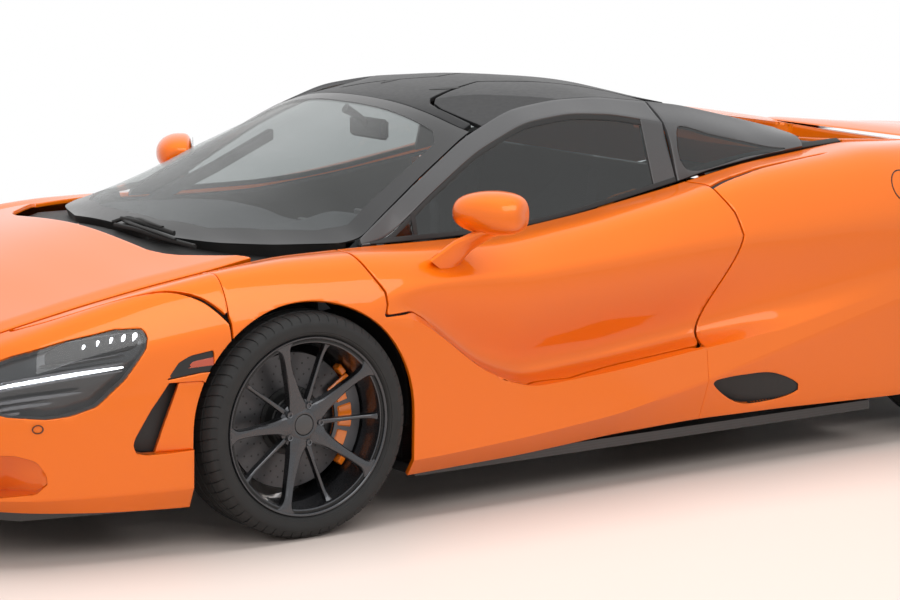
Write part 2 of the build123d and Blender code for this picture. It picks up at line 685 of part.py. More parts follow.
# ---- underbody and the tub that the cabin stands in
FLOOR_Z = 118
FLOOR_SKIN = 30
FLOOR_OUTLINE = (
    (960, 0), (940, 560), (800, 740), (400, 830), (400, 530), (-400, 530), (-400, 876),
    (-2180, 876), (-2180, 560), (-3040, 560), (-3040, 0))
with BuildPart() as floor_pan:
    region = plan_prism(FLOOR_OUTLINE, FLOOR_Z, FLOOR_Z + FLOOR_SKIN)
    add(region)
    add(region.mirror(Plane.XZ))
finish(floor_pan, "floor_pan")

LINER_SKIN = 6
LINER_DROP = 60          # how far the liners run down past the middle of the arch
LINERS = ((FRONT, 385, 600, 860), (REAR, 397, 570, 890))     # axle, radius, near y, far y
with BuildPart() as wheel_liner:
    for axle, radius, near_y, far_y in LINERS:
        with BuildSketch(Plane.XZ.offset(-near_y)):
            with Locations((axle["x"], axle["arch_z"])):
                Circle(radius + LINER_SKIN)
                Circle(radius, mode=Mode.SUBTRACT)
            with Locations((axle["x"], axle["arch_z"] - LINER_DROP - radius)):
                Rectangle(3 * radius, 2 * radius, mode=Mode.SUBTRACT)
        extrude(amount=-(far_y - near_y))
paired(wheel_liner, "wheel_liners")

TUB_SKIN = 30
TUB_BASE = FLOOR_Z + FLOOR_SKIN
TUB_FRONT_X = -442
TUB_INNER_Y = 660
BULKHEAD_TOP = 550
with BuildPart() as tub_side:
    add(brick((TUB_REAR_X, TUB_FRONT_X), (TUB_INNER_Y, TUB_HALF_WIDTH), (TUB_BASE, TUB_TOP)))
paired(tub_side, "tub_sides")

FULL_WALLS = (           # x, y and z: ahead of the feet, behind the seats, and its narrower top
    ((-60, -60 + TUB_SKIN), (-510, 510), (TUB_BASE, BULKHEAD_TOP)),
    ((TUB_REAR_X - TUB_SKIN, TUB_REAR_X), (-TUB_HALF_WIDTH, TUB_HALF_WIDTH), (TUB_BASE, 820)),
    ((TUB_REAR_X - TUB_SKIN, TUB_REAR_X), (-600, 600), (820, 930)))
SIDE_WALLS = (           # x, y and z: beside the feet and the luggage, and out to the sill
    ((-440, 398), (480, 510), (TUB_BASE, BULKHEAD_TOP)),
    ((-440, -440 + TUB_SKIN), (510, TUB_HALF_WIDTH), (TUB_BASE, BULKHEAD_TOP)))
with BuildPart() as bulkheads:
    for wall in FULL_WALLS:
        add(brick(*wall))
    for wall in SIDE_WALLS:
        add(brick(*wall))
        add(brick(*wall).mirror(Plane.XZ))
finish(bulkheads, "bulkheads")

LUGGAGE_TUB = ((400, 900), (-500, 500), (220, 560))
LUGGAGE_WALL = 15
tub_x, tub_y, tub_z = LUGGAGE_TUB
with BuildPart() as luggage_tub:
    add(brick(*LUGGAGE_TUB))
    add(brick((tub_x[0] + LUGGAGE_WALL, tub_x[1] - LUGGAGE_WALL),
              (tub_y[0] + LUGGAGE_WALL, tub_y[1] - LUGGAGE_WALL),
              (tub_z[0] + LUGGAGE_WALL, tub_z[1] + LUGGAGE_WALL)), mode=Mode.SUBTRACT)
finish(luggage_tub, "luggage_tub")

GEARBOX_HALF_WIDTH = 190
ENGINE = ((-2350, -1700), (-290, 290), (170, 640))
GEARBOX = ((-2950, -2350), (-GEARBOX_HALF_WIDTH, GEARBOX_HALF_WIDTH), (190, 480))
with BuildPart() as engine_block:
    add(brick(*ENGINE))
    add(brick(*GEARBOX))
finish(engine_block, "engine_block")

# ---- cabin fittings
SEAT_Y = 330
SEAT_WIDTH = 460
SEAT_SIDE = (
    (-640, 230), (-1130, 200), (-1440, 760), (-1470, 905), (-1400, 930), (-1330, 760),
    (-1120, 400), (-660, 400))
with BuildPart() as seat:
    with BuildSketch(Plane.XZ.offset(-(SEAT_Y - SEAT_WIDTH / 2))):
        with BuildLine():
            Polyline(*[(station(x), z) for x, z in SEAT_SIDE], close=True)
        make_face()
    extrude(amount=-SEAT_WIDTH)
paired(seat, "seats")

DASH_SIDE = (
    (-90, 690), (-100, 775), (-330, 790), (-500, 790), (-570, 745), (-540, 640), (-420, 560),
    (-200, 560))
DASH_HALF_WIDTH = 590
CONSOLE_HALF_WIDTH = 75
CONSOLE = (((-1150, -450), (TUB_BASE, 380)), ((-540, -440), (380, 600)))     # x and z
with BuildPart() as dashboard:
    with BuildSketch(Plane.XZ.offset(-DASH_HALF_WIDTH)):
        with BuildLine():
            Polyline(*[(station(x), z) for x, z in DASH_SIDE], close=True)
        make_face()
    extrude(amount=2 * DASH_HALF_WIDTH)
    for console_x, console_z in CONSOLE:
        add(brick(console_x, (-CONSOLE_HALF_WIDTH, CONSOLE_HALF_WIDTH), console_z))
finish(dashboard, "dashboard")

STEERING_CENTRE = (station(-690), 355, 740)
STEERING_RADIUS = 172
STEERING_TILT = 24
RIM_GRIP = 30
STEERING_HUB_RADIUS = 55
COLUMN_RADIUS = 28
COLUMN_LENGTH = 200
with BuildPart() as steering_wheel:
    plane = Plane(origin=STEERING_CENTRE, x_dir=(0, 1, 0),
                  z_dir=(-math.cos(math.radians(STEERING_TILT)), 0,
                         math.sin(math.radians(STEERING_TILT))))
    with BuildSketch(plane):
        Circle(STEERING_RADIUS)
        Circle(STEERING_RADIUS - RIM_GRIP, mode=Mode.SUBTRACT)
        Rectangle(2 * STEERING_RADIUS - RIM_GRIP, RIM_GRIP)
        with Locations((0, -STEERING_RADIUS / 2)):
            Rectangle(RIM_GRIP, STEERING_RADIUS - RIM_GRIP / 2)
        Circle(STEERING_HUB_RADIUS)
    extrude(amount=RIM_GRIP / 2, both=True)
    with BuildSketch(plane):
        Circle(COLUMN_RADIUS)
    extrude(amount=-COLUMN_LENGTH)
    add(dashboard.part, mode=Mode.SUBTRACT)
finish(steering_wheel, "steering_wheel")

# ---- door mirrors on their stalks
MIRROR_SECTIONS = (          # y, centre x, centre z, length, height
    (885, -628, 884, 70, 60), (925, -620, 890, 122, 108), (1010, -612, 895, 124, 112),
    (1062, -615, 896, 96, 84), (1080, -620, 896, 50, 46))
with BuildPart() as door_mirror:
    for y, x, z, length, height in MIRROR_SECTIONS:
        with BuildSketch(Plane.XZ.offset(-y)):
            with Locations((station(x), z)):
                RectangleRounded(length, height, 0.42 * height)
    loft(ruled=True)
    with BuildSketch(Plane.XY.offset(728)):
        with Locations((station(-455), 905)):
            Rectangle(95, 26)
    with BuildSketch(Plane.XY.offset(870)):
        with Locations((station(-600), 945)):
            Rectangle(75, 30)
    loft(ruled=True)
    add(door.part, mode=Mode.SUBTRACT)
both_sides(door_mirror, "door_mirror")

# ---- wheels
def wheel_plane(axle, y=0):
    """A plane through the wheel's centre, u along +Y and v upwards."""
    return Plane(origin=(axle["x"], y, axle["radius"]), x_dir=(0, 1, 0), z_dir=(1, 0, 0))


def wheel_axis(axle):
    """The wheel's own axis, along Y."""
    return Axis(origin=(axle["x"], 0, axle["radius"]), direction=(0, 1, 0))


RIM_LIP = 17             # from the rim's outer edge in to the tyre's seat
BARREL_WALL = 8
HUB_DEPTH = 45
DISC_THICKNESS = 32
DISC_FACE_INSET = 115    # the disc's outer face lies this far inside the rim's face
HAT_RADIUS = 84
UPRIGHT_DEPTH = 60
HAT_WALL = 10


def tyre_ring(axle, y, radius):
    """A regular polygon round the wheel's axis at y, its corners on the radius."""
    with BuildSketch(Plane(origin=(axle["x"], y, axle["radius"]), x_dir=(1, 0, 0),
                           z_dir=(0, 1, 0))) as ring:
        RegularPolygon(radius=radius, side_count=TYRE_SIDES)
    return ring.sketch


def tyre_of(axle):
    """A low tyre with rounded shoulders and bead seats, in flats that keep it light."""
    lip = axle["rim_radius"]
    half = axle["width"] / 2
    middle = axle["centre_y"]
    crown = axle["radius"]
    seat = (lip - RIM_LIP) / math.cos(math.pi / TYRE_SIDES)
    shoulders = ((half, (lip + crown) / 2), (half - 9, crown - 20), (half - 40, crown))
    with BuildPart() as tyre:
        low = [tyre_ring(axle, middle - reach, radius) for reach, radius in shoulders]
        high = [tyre_ring(axle, middle + reach, radius) for reach, radius in reversed(shoulders)]
        loft(sections=low + high, ruled=True)
        for side in (-1, 1):
            mouth = tyre_ring(axle, middle + side * (half + 2), lip + 13)
            bead = tyre_ring(axle, middle + side * (half - BEAD_DEPTH), lip + 1)
            loft(sections=[mouth, bead], ruled=True, mode=Mode.SUBTRACT)
        extrude(to_extrude=tyre_ring(axle, middle - half, seat), amount=2 * half,
                mode=Mode.SUBTRACT)
    return tyre


def rim_of(axle):
    """A rim: its barrel with both lips, the hub, and pairs of a proud and a thin spoke."""
    lip = axle["rim_radius"]
    seat = lip - RIM_LIP
    face = axle["face_y"]
    inner = axle["centre_y"] - axle["width"] / 2 + 8
    hub_face = face - HUB_INSET
    with BuildPart() as rim:
        with BuildSketch(wheel_plane(axle)):
            with BuildLine():
                Polyline((inner, lip), (inner, seat - BARREL_WALL), (face, seat - BARREL_WALL),
                         (face, lip), (face - 9, lip), (face - 9, seat), (inner + 9, seat),
                         (inner + 9, lip), close=True)
            make_face()
            with Locations((hub_face - HUB_DEPTH / 2, HUB_RADIUS / 2 + 5)):
                Rectangle(HUB_DEPTH, HUB_RADIUS - 10)
        revolve(axis=wheel_axis(axle))
        for spoke in range(2 * SPOKES):
            proud = spoke % 2 == 0
            angle = math.radians(spoke * 180 / SPOKES + SPOKE_START)
            radial = (math.cos(angle), 0, math.sin(angle))
            tangent = (-math.sin(angle), 0, math.cos(angle))
            ends = (
                (HUB_RADIUS - 14, 44 if proud else 26, hub_face - 20, 34),
                (seat - BARREL_WALL + 3, 22 if proud else 16,
                 face - (14 if proud else 36), 26 if proud else 22))
            for reach, width, middle_y, depth in ends:
                foot = (axle["x"] + reach * radial[0], middle_y, axle["radius"] + reach * radial[2])
                with BuildSketch(Plane(origin=foot, x_dir=tangent, z_dir=radial)):
                    Rectangle(width, depth)
            loft(ruled=True)
    return rim


def disc_of(axle):
    """A brake disc on its hat, which reaches out to the back of the hub."""
    hub_back = axle["face_y"] - HUB_INSET - HUB_DEPTH
    outer_face = axle["face_y"] - DISC_FACE_INSET
    with BuildPart() as disc:
        with BuildSketch(wheel_plane(axle)):
            with BuildLine():
                Polyline((outer_face - DISC_THICKNESS, HAT_RADIUS - HAT_WALL),
                         (outer_face - DISC_THICKNESS, axle["disc_radius"]),
                         (outer_face, axle["disc_radius"]), (outer_face, HAT_RADIUS),
                         (hub_back, HAT_RADIUS), (hub_back, 10), (hub_back - HAT_WALL, 10),
                         (hub_back - HAT_WALL, HAT_RADIUS - HAT_WALL), close=True)
            make_face()
        revolve(axis=wheel_axis(axle))
    return disc


def caliper_of(axle, side):
    """A caliper astride the disc on its front or rear side, with the arm that carries it."""
    outer_face = axle["face_y"] - DISC_FACE_INSET
    inner_face = outer_face - DISC_THICKNESS
    radius = axle["disc_radius"]
    with BuildPart() as caliper:
        with BuildSketch(Plane.XZ.offset(-(inner_face - 30))):
            with Locations((axle["x"], axle["radius"])):
                Circle(radius + 22)
                Circle(radius - 62, mode=Mode.SUBTRACT)
        extrude(amount=-(DISC_THICKNESS + 56))
        with BuildSketch(Plane.XZ.offset(-(inner_face - 8))):
            with Locations((axle["x"], axle["radius"])):
                Circle(radius + 8)
        extrude(amount=-(DISC_THICKNESS + 16), mode=Mode.SUBTRACT)
        with BuildSketch(Plane.XZ):
            with BuildLine():
                Polyline((axle["x"], axle["radius"]),
                         (axle["x"] + side * 320, axle["radius"] + 185),
                         (axle["x"] + side * 320, axle["radius"] - 185), close=True)
            make_face()
        extrude(amount=-1100, mode=Mode.INTERSECT)
        add(brick_at((axle["x"] + side * (radius - 20), axle["x"] + side * 30),
                     (inner_face - 44, inner_face - 30), (axle["radius"] - 60, axle["radius"] + 60)))
    return caliper


def upright_of(axle):
    """An upright with the spindle that runs into the hat of the disc."""
    inner_face = axle["face_y"] - DISC_FACE_INSET - DISC_THICKNESS
    hub_back = axle["face_y"] - HUB_INSET - HUB_DEPTH - HAT_WALL
    with BuildPart() as upright:
        add(brick_at((axle["x"] - 28, axle["x"] + 28), (inner_face - UPRIGHT_DEPTH, inner_face - 16),
                     (axle["radius"] - 125, axle["radius"] + 125)))
        with BuildSketch(Plane.XZ.offset(-(inner_face - 20))):
            with Locations((axle["x"], axle["radius"])):
                Circle(38)
        extrude(amount=-(hub_back - 8 - inner_face + 20))
    return upright


def arms_of(axle, upright_y):
    """Upper and lower arms, each an A of two bars from the upright to the body."""
    with BuildPart() as arms:
        for level in (axle["radius"] - 150, axle["radius"] + 150):
            for end in (-1, 1):
                with BuildSketch(Plane.XY.offset(level - 10)):
                    with BuildLine():
                        Polyline((axle["x"] - 16, upright_y + 10), (axle["x"] + 16, upright_y + 10),
                                 (axle["x"] + end * 150 + 16, 512),
                                 (axle["x"] + end * 150 - 16, 512), close=True)
                    make_face()
                extrude(amount=20)
    return arms


# ---- half shafts from the gearbox to the rear uprights
shaft_end = REAR["face_y"] - DISC_FACE_INSET - DISC_THICKNESS - UPRIGHT_DEPTH
SHAFT_STEPS = (          # near y, far y, radius
    (GEARBOX_HALF_WIDTH, 240, 46), (240, shaft_end - 60, 16), (shaft_end - 60, shaft_end, 38))
with BuildPart() as half_shaft:
    for near_y, far_y, radius in SHAFT_STEPS:
        with BuildSketch(Plane.XZ.offset(-near_y)):
            with Locations((REAR["x"], REAR["radius"])):
                Circle(radius)
        extrude(amount=-(far_y - near_y))
paired(half_shaft, "half_shafts")

all_arms = []
for axle, name, steered in ((FRONT, "front", True), (REAR, "rear", False)):
    inner_face = axle["face_y"] - DISC_FACE_INSET - DISC_THICKNESS
    both_sides(tyre_of(axle), f"{name}_tyre")
    both_sides(rim_of(axle), f"{name}_rim")
    both_sides(disc_of(axle), f"{name}_disc")
    with BuildPart() as carrier:
        add(upright_of(axle).part)
        add(caliper_of(axle, -1 if steered else 1).part)
    if steered:
        both_sides(carrier, "front_upright")
    else:
        paired(carrier, "rear_uprights")
    all_arms.append(arms_of(axle, inner_face - 38).part)

with BuildPart() as suspension_arms:
    for arms in all_arms:
        add(arms)
paired(suspension_arms, "suspension_arms")
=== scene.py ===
import math

import bmesh
import bpy
import numpy as np
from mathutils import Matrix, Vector


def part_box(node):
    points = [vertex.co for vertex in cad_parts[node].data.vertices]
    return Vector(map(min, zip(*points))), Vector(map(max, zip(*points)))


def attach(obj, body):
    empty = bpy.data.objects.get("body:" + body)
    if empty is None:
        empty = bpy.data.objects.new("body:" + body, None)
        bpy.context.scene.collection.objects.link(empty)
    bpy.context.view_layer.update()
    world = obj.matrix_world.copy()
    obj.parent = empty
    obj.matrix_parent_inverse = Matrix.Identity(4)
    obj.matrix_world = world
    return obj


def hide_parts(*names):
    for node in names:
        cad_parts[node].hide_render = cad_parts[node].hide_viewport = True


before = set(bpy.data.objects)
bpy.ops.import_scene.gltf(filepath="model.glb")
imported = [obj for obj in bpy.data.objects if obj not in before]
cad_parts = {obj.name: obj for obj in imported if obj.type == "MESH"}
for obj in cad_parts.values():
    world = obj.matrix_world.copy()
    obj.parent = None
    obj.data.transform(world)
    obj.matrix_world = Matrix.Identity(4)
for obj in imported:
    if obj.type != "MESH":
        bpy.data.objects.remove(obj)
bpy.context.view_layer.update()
print("stage: frame loaded")

# Places are in millimetres, with x measured forwards from the front axle, y to the car's left
# and z up from the ground. They become metres in the part's frame when a mesh is made.


def boxCentre(node):
    # the middle of a node's box, in metres
    low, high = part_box(node)
    return (low + high) / 2


frontHub = boxCentre("front_tyre_left")
rearHub = boxCentre("rear_tyre_left")
frontAxleX = frontHub.x
frontRadius = frontHub.z * 1000
rearRadius = rearHub.z * 1000
rearAxle = (rearHub.x - frontAxleX) * 1000

shutGap = 6.0       # between a door and the panels beside it
edgeRoll = 2.2      # how far a panel's edge is rounded
edgeDepth = 13.0    # how deep a panel's edge goes
gridStep = 12.0     # between the grid's places on a panel

# the body's lines on its left side, (y, z) where each section cuts them:
# sill, crease, lip, channel, waist, shoulder, belt
bodyLines = {
    1110: ((270, 190), (300, 220), (310, 300), (315, 370), (312, 420), (290, 455), (240, 480)),
    1050: ((520, 176), (560, 205), (570, 300), (575, 400), (560, 470), (520, 520), (430, 540)),
    950: ((700, 162), (740, 195), (745, 300), (745, 410), (730, 500), (690, 560), (600, 580)),
    800: ((800, 150), (830, 190), (835, 300), (835, 420), (815, 540), (760, 620), (680, 638)),
    600: ((860, 138), (885, 190), (890, 320), (888, 460), (870, 600), (800, 690), (725, 692)),
    400: ((890, 130), (920, 190), (925, 340), (920, 500), (900, 630), (825, 740), (752, 735)),
    200: ((905, 127), (932, 190), (940, 360), (937, 520), (922, 650), (840, 772), (755, 765)),
    0: ((910, 125), (938, 190), (948, 400), (948, 560), (937, 665), (850, 785), (745, 787)),
    -250: ((905, 128), (940, 180), (955, 612), (953, 630), (940, 672), (855, 785), (755, 800)),
    -350: ((903, 130), (940, 182), (950, 612), (940, 628), (935, 686), (858, 778), (745, 799)),
    -450: ((900, 132), (940, 185), (945, 540), (918, 556), (930, 700), (860, 772), (738, 797)),
    -600: ((898, 136), (940, 194), (938, 420), (885, 438), (930, 708), (860, 772), (732, 796)),
    -770: ((895, 140), (940, 205), (932, 350), (872, 368), (930, 715), (860, 775), (727, 797)),
    -1100: ((890, 160), (940, 235), (930, 368), (862, 390), (930, 724), (858, 812), (715, 835)),
    -1440: ((895, 172), (944, 300), (932, 404), (872, 430), (932, 742), (850, 868), (700, 888)),
    -1560: ((902, 172), (949, 335), (938, 416), (892, 448), (936, 748), (845, 895), (696, 910)),
    -1770: ((910, 172), (955, 387), (945, 440), (920, 480), (942, 757), (835, 925), (690, 947)),
    -2220: ((930, 165), (965, 497), (960, 530), (955, 570), (958, 780), (835, 960), (640, 985)),
    -2670: ((930, 165), (962, 545), (967, 598), (966, 650), (960, 790), (838, 952), (600, 958)),
    -3080: ((925, 200), (950, 330), (955, 470), (952, 620), (935, 765), (812, 888), (580, 892)),
    -3300: ((850, 245), (890, 330), (900, 460), (898, 600), (880, 730), (772, 838), (560, 842)),
    -3400: ((760, 285), (810, 345), (822, 450), (822, 580), (806, 690), (735, 795), (545, 802)),
}
# the nose ahead of the lid: belt, crease and centre
noseLines = {
    1110: ((240, 480), (150, 488), (0, 490)),
    1050: ((430, 540), (400, 548), (0, 552)),
    918: ((612, 588), (545, 600), (0, 616)),
}
# the lid: edge, crease and centre
lidLines = {
    915: ((607, 593), (548, 605), (0, 621)),
    800: ((672, 640), (618, 652), (0, 667)),
    600: ((717, 694), (662, 706), (0, 735)),
    400: ((744, 737), (690, 750), (0, 785)),
    200: ((747, 767), (697, 779), (0, 826)),
    55: ((722, 786), (690, 795), (0, 832)),
}
# the canopy: foot of the side glass, its top, the roof's edge, halfway in, and the middle
canopyLines = {
    -300: ((752, 798), (746, 800), (735, 813), (385, 955), (0, 993)),
    -390: ((741, 795), (733, 803), (708, 865), (380, 997), (0, 1027)),
    -560: ((734, 794), (697, 915), (650, 961), (360, 1063), (0, 1091)),
    -760: ((727, 796), (659, 1035), (592, 1072), (330, 1136), (0, 1159)),
    -950: ((720, 808), (640, 1112), (560, 1146), (320, 1171), (0, 1183)),
    -1130: ((713, 832), (627, 1130), (544, 1166), (310, 1185), (0, 1194)),
    -1300: ((706, 862), (623, 1118), (538, 1166), (300, 1187), (0, 1196)),
    -1500: ((698, 898), (621, 1080), (531, 1141), (295, 1166), (0, 1180)),
    -1640: ((694, 928), (625, 1052), (522, 1122), (288, 1130), (0, 1148)),
    -1880: ((684, 962), (636, 1000), (515, 1068), (280, 1070), (0, 1086)),
    -2060: ((671, 979), (655, 988), (508, 1024), (270, 1018), (0, 1030)),
    -2240: ((642, 985), (632, 990), (500, 985), (260, 962), (0, 968)),
}
screenLines = {
    140: ((250, 806), (125, 812), (0, 814)),
    60: ((500, 803), (260, 837), (0, 848)),
    -60: ((640, 804), (340, 874), (0, 898)),
    -240: ((736, 806), (385, 930), (0, 966)),
    -310: ((727, 816), (385, 960), (0, 996)),
    -390: ((701, 867), (380, 994), (0, 1024)),
    -560: ((643, 963), (360, 1060), (0, 1088)),
    -760: ((585, 1073), (330, 1135), (0, 1158)),
    -830: ((570, 1104), (325, 1150), (0, 1170)),
}
deckLines = {
    -2250: ((634, 984), (300, 966), (0, 960)),
    -2670: ((594, 957), (300, 932), (0, 922)),
    -3080: ((574, 891), (300, 886), (0, 884)),
    -3300: ((554, 839), (300, 845), (0, 848)),
}


def gaussianAlong(values, sigma):
    # a running mean along the first axis, weighted by exp(-d^2 / 2 sigma^2), with the values
    # carried on past both ends by turning them about the end value
    if sigma < 0.5:
        return values
    reach = int(3 * sigma)
    reach = min(reach, len(values) - 1)
    kernel = np.exp(-0.5 * (np.arange(-reach, reach + 1) / sigma) ** 2)
    kernel /= kernel.sum()
    before = 2 * values[0] - values[1:reach + 1][::-1]
    after = 2 * values[-1] - values[-reach - 1:-1][::-1]
    padded = np.concatenate([before, values, after])
    out = np.empty_like(values)
    for index in np.ndindex(values.shape[1:]):
        place = (slice(None),) + index
        out[place] = np.convolve(padded[place], kernel, mode="valid")
    return out


def readAt(xs, stations, lines):
    # every line of a table at the places xs, straight between its stations
    out = np.empty((len(xs),) + lines.shape[1:])
    for index in np.ndindex(lines.shape[1:]):
        place = (slice(None),) + index
        out[place] = np.interp(xs, stations, lines[place])
    return out


def tableGrid(table, columns, back, front, sharp=(), sigma=60.0, across=False, step=gridStep):
    # each line of the table is followed along x, smoothed over sigma mm, and the sections are
    # then drawn through the lines; across carries every section on to the car's other side
    stations = np.array(sorted(table), float)
    lines = np.array([[table[x][c] for c in columns] for x in sorted(table)], float)
    xs = np.linspace(back, front, max(int(round((front - back) / step)) + 1, 2))
    wide = np.arange(stations[0], stations[-1] + 5, 10.0)
    points = readAt(xs, wide, gaussianAlong(readAt(wide, stations, lines), sigma / 10))
    if across:
        right = points[:, -2::-1].copy()
        right[..., 0] *= -1
        count = points.shape[1]
        sharp = tuple(sharp) + tuple(2 * (count - 1) - s for s in sharp)
        points = np.concatenate([points, right], axis=1)
    return sectionGrid(xs, points, sharp, step)


def sectionGrid(xs, points, sharp, step):
    # a cubic through the section's points, p(t) = h00 p0 + h10 m0 + h01 p1 + h11 m1, whose
    # slopes are the mean of the chords beside a point, but the chord itself at a sharp one
    count = points.shape[1]
    chords = points[:, 1:] - points[:, :-1]
    lengths = np.linalg.norm(chords, axis=2, keepdims=True) + 1e-6
    units = chords / lengths
    pieces = []
    for s in range(count - 1):
        start = units[:, s] if s == 0 or s in sharp else None
        end = units[:, s] if s == count - 2 or s + 1 in sharp else None
        if start is None:
            weight = lengths[:, s] / (lengths[:, s] + lengths[:, s - 1])
            start = units[:, s - 1] * weight + units[:, s] * (1 - weight)
        if end is None:
            weight = lengths[:, s] / (lengths[:, s] + lengths[:, s + 1])
            end = units[:, s + 1] * weight + units[:, s] * (1 - weight)
        n = max(int(round(float(lengths[:, s].mean()) / step)), 2)
        t = np.linspace(0, 1, n + 1)
        if s < count - 2:
            t = t[:-1]
        t = t[None, :, None]
        p0, p1 = points[:, s][:, None], points[:, s + 1][:, None]
        m0, m1 = (start * lengths[:, s])[:, None], (end * lengths[:, s])[:, None]
        pieces.append((2 * t**3 - 3 * t**2 + 1) * p0 + (t**3 - 2 * t**2 + t) * m0
                      + (3 * t**2 - 2 * t**3) * p1 + (t**3 - t**2) * m1)
    flat = np.concatenate(pieces, axis=1)
    grid = np.empty(flat.shape[:2] + (3,))
    grid[..., 0] = np.asarray(xs)[:, None]
    grid[..., 1:] = flat
    return grid


def gridPatch(grid, closed=False):
    # rows and columns of places become vertices, and each cell two triangles
    rows, columns = grid.shape[:2]
    index = np.arange(rows * columns).reshape(rows, columns)
    if closed:
        index = np.concatenate([index, index[:, :1]], axis=1)
    a, b = index[:-1, :-1].ravel(), index[:-1, 1:].ravel()
    c, d = index[1:, 1:].ravel(), index[1:, :-1].ravel()
    faces = np.concatenate([np.stack([a, b, c], 1), np.stack([a, c, d], 1)])
    return grid.reshape(-1, 3).copy(), faces


def mirrored(patch):
    # y turned to -y, and the faces turned round so that they still point outwards
    verts, faces = patch
    return verts * (1, -1, 1), faces[:, ::-1].copy()


sides = {"left": lambda patch: patch, "right": mirrored}


def joinPatches(*patches):
    # several patches as one, each one's faces counted on from the last
    verts, faces, start = [], [], 0
    for v, f in patches:
        verts.append(v)
        faces.append(f + start)
        start += len(v)
    return np.concatenate(verts), np.concatenate(faces)


def bothSides(patch):
    return joinPatches(patch, mirrored(patch))


def clip(patch, keep):
    # the part where keep is above zero; a cut edge is parted where keep, taken as a straight
    # line between its ends, is zero
    verts, faces = patch
    inside = keep > 0
    count = inside[faces].sum(1)
    single, double = faces[count == 1], faces[count == 2]
    turns = np.arange(3)[None, :]
    first = (inside[single].argmax(1)[:, None] + turns) % 3
    single = np.take_along_axis(single, first, 1)      # the corner that stays comes first
    first = ((~inside[double]).argmax(1)[:, None] + turns) % 3
    double = np.take_along_axis(double, first, 1)      # the corner that goes comes first
    cut = np.concatenate([single[:, :2], single[:, ::2], double[:, :2], double[:, ::2]])
    ends, place = np.unique(np.sort(cut, axis=1), axis=0, return_inverse=True)
    a, b = ends[:, 0], ends[:, 1]
    share = (keep[a] / (keep[a] - keep[b]))[:, None] if len(ends) else np.zeros((0, 1))
    crossing = verts[a] + share * (verts[b] - verts[a])
    place = place.ravel() + len(verts)
    one, two = len(single), len(double)
    p, q, r, t = np.split(place, [one, 2 * one, 2 * one + two])
    kept = [faces[count == 3], np.stack([single[:, 0], p, q], 1),
            np.stack([r, double[:, 1], double[:, 2]], 1), np.stack([r, double[:, 2], t], 1)]
    return dropLoose(np.concatenate([verts, crossing]), np.concatenate(kept))


def curved(points, closed=False, step=12.0):
    # the smooth line through all its points whose slope at each is half the step from the
    # point before to the point after, a place for about every step mm
    pts = np.array(points, float)
    if closed:
        pts = np.concatenate([pts[-1:], pts, pts[:2]])
    else:
        pts = np.concatenate([2 * pts[:1] - pts[1:2], pts, 2 * pts[-1:] - pts[-2:-1]])
    out = []
    for i in range(1, len(pts) - 2):
        p0, p1, p2, p3 = pts[i - 1:i + 3]
        n = max(int(np.linalg.norm(p2 - p1) / step), 2)
        t = np.linspace(0, 1, n, endpoint=False)[:, None]
        out.append(0.5 * (2 * p1 + (p2 - p0) * t + (2 * p0 - 5 * p1 + 4 * p2 - p3) * t**2
                          + (3 * p1 - p0 - 3 * p2 + p3) * t**3))
    if not closed:
        out.append(pts[-2:-1])
    return np.concatenate(out)


def outlineDistance(outline, a, b):
    # the distance from (a, b) to the nearest side of the outline, above zero inside it: a place
    # is inside where a ray from it crosses the outline an odd number of times
    ring = np.array(outline, float)
    following = np.roll(ring, -1, axis=0)
    best = np.full(len(a), 1e9)
    crossings = np.zeros(len(a), int)
    for (x0, y0), (x1, y1) in zip(ring, following):
        dx, dy = x1 - x0, y1 - y0
        t = np.clip(((a - x0) * dx + (b - y0) * dy) / (dx * dx + dy * dy + 1e-12), 0, 1)
        best = np.minimum(best, np.hypot(a - x0 - t * dx, b - y0 - t * dy))
        spans = (y0 > b) != (y1 > b)
        with np.errstate(divide="ignore", invalid="ignore"):
            crossings += spans & (a < x0 + (b - y0) * dx / (dy if dy else 1e-12))
    return np.where(crossings % 2 == 1, best, -best)


# the distance inside an outline drawn from the side, or from above or behind, where it is the
# same on both sides of the car
def fromSide(outline):
    return lambda v: outlineDistance(outline, v[:, 0], v[:, 2])


def fromAbove(outline):
    return lambda v: outlineDistance(outline, v[:, 0], np.abs(v[:, 1]))


def fromBehind(outline):
    return lambda v: outlineDistance(outline, np.abs(v[:, 1]), v[:, 2])


def trimmed(patch, *tests):
    # each test is (distance, sign, gap), with the gap left out where it is 0: what stays is
    # where sign * distance is above the gap
    for test, sign, *gap in tests:
        if len(patch[1]):
            patch = clip(patch, sign * test(patch[0]) - sum(gap))
    return patch


def vertexNormals(patch):
    # the sum of the cross products of the faces round a vertex, made one long
    verts, faces = patch
    corners = verts[faces]
    normals = np.cross(corners[:, 1] - corners[:, 0], corners[:, 2] - corners[:, 0])
    total = np.zeros_like(verts)
    for k in range(3):
        np.add.at(total, faces[:, k], normals)
    return total / (np.linalg.norm(total, axis=1, keepdims=True) + 1e-12)


def offset(patch, distance):
    # v + distance * n
    return patch[0] + distance * vertexNormals(patch), patch[1]


def boundaryEdges(faces):
    # the edges that belong to one face only
    edges = np.concatenate([faces[:, [0, 1]], faces[:, [1, 2]], faces[:, [2, 0]]])
    key = np.sort(edges, axis=1)
    _, inverse, counts = np.unique(key, axis=0, return_inverse=True, return_counts=True)
    return edges[counts[inverse.ravel()] == 1]


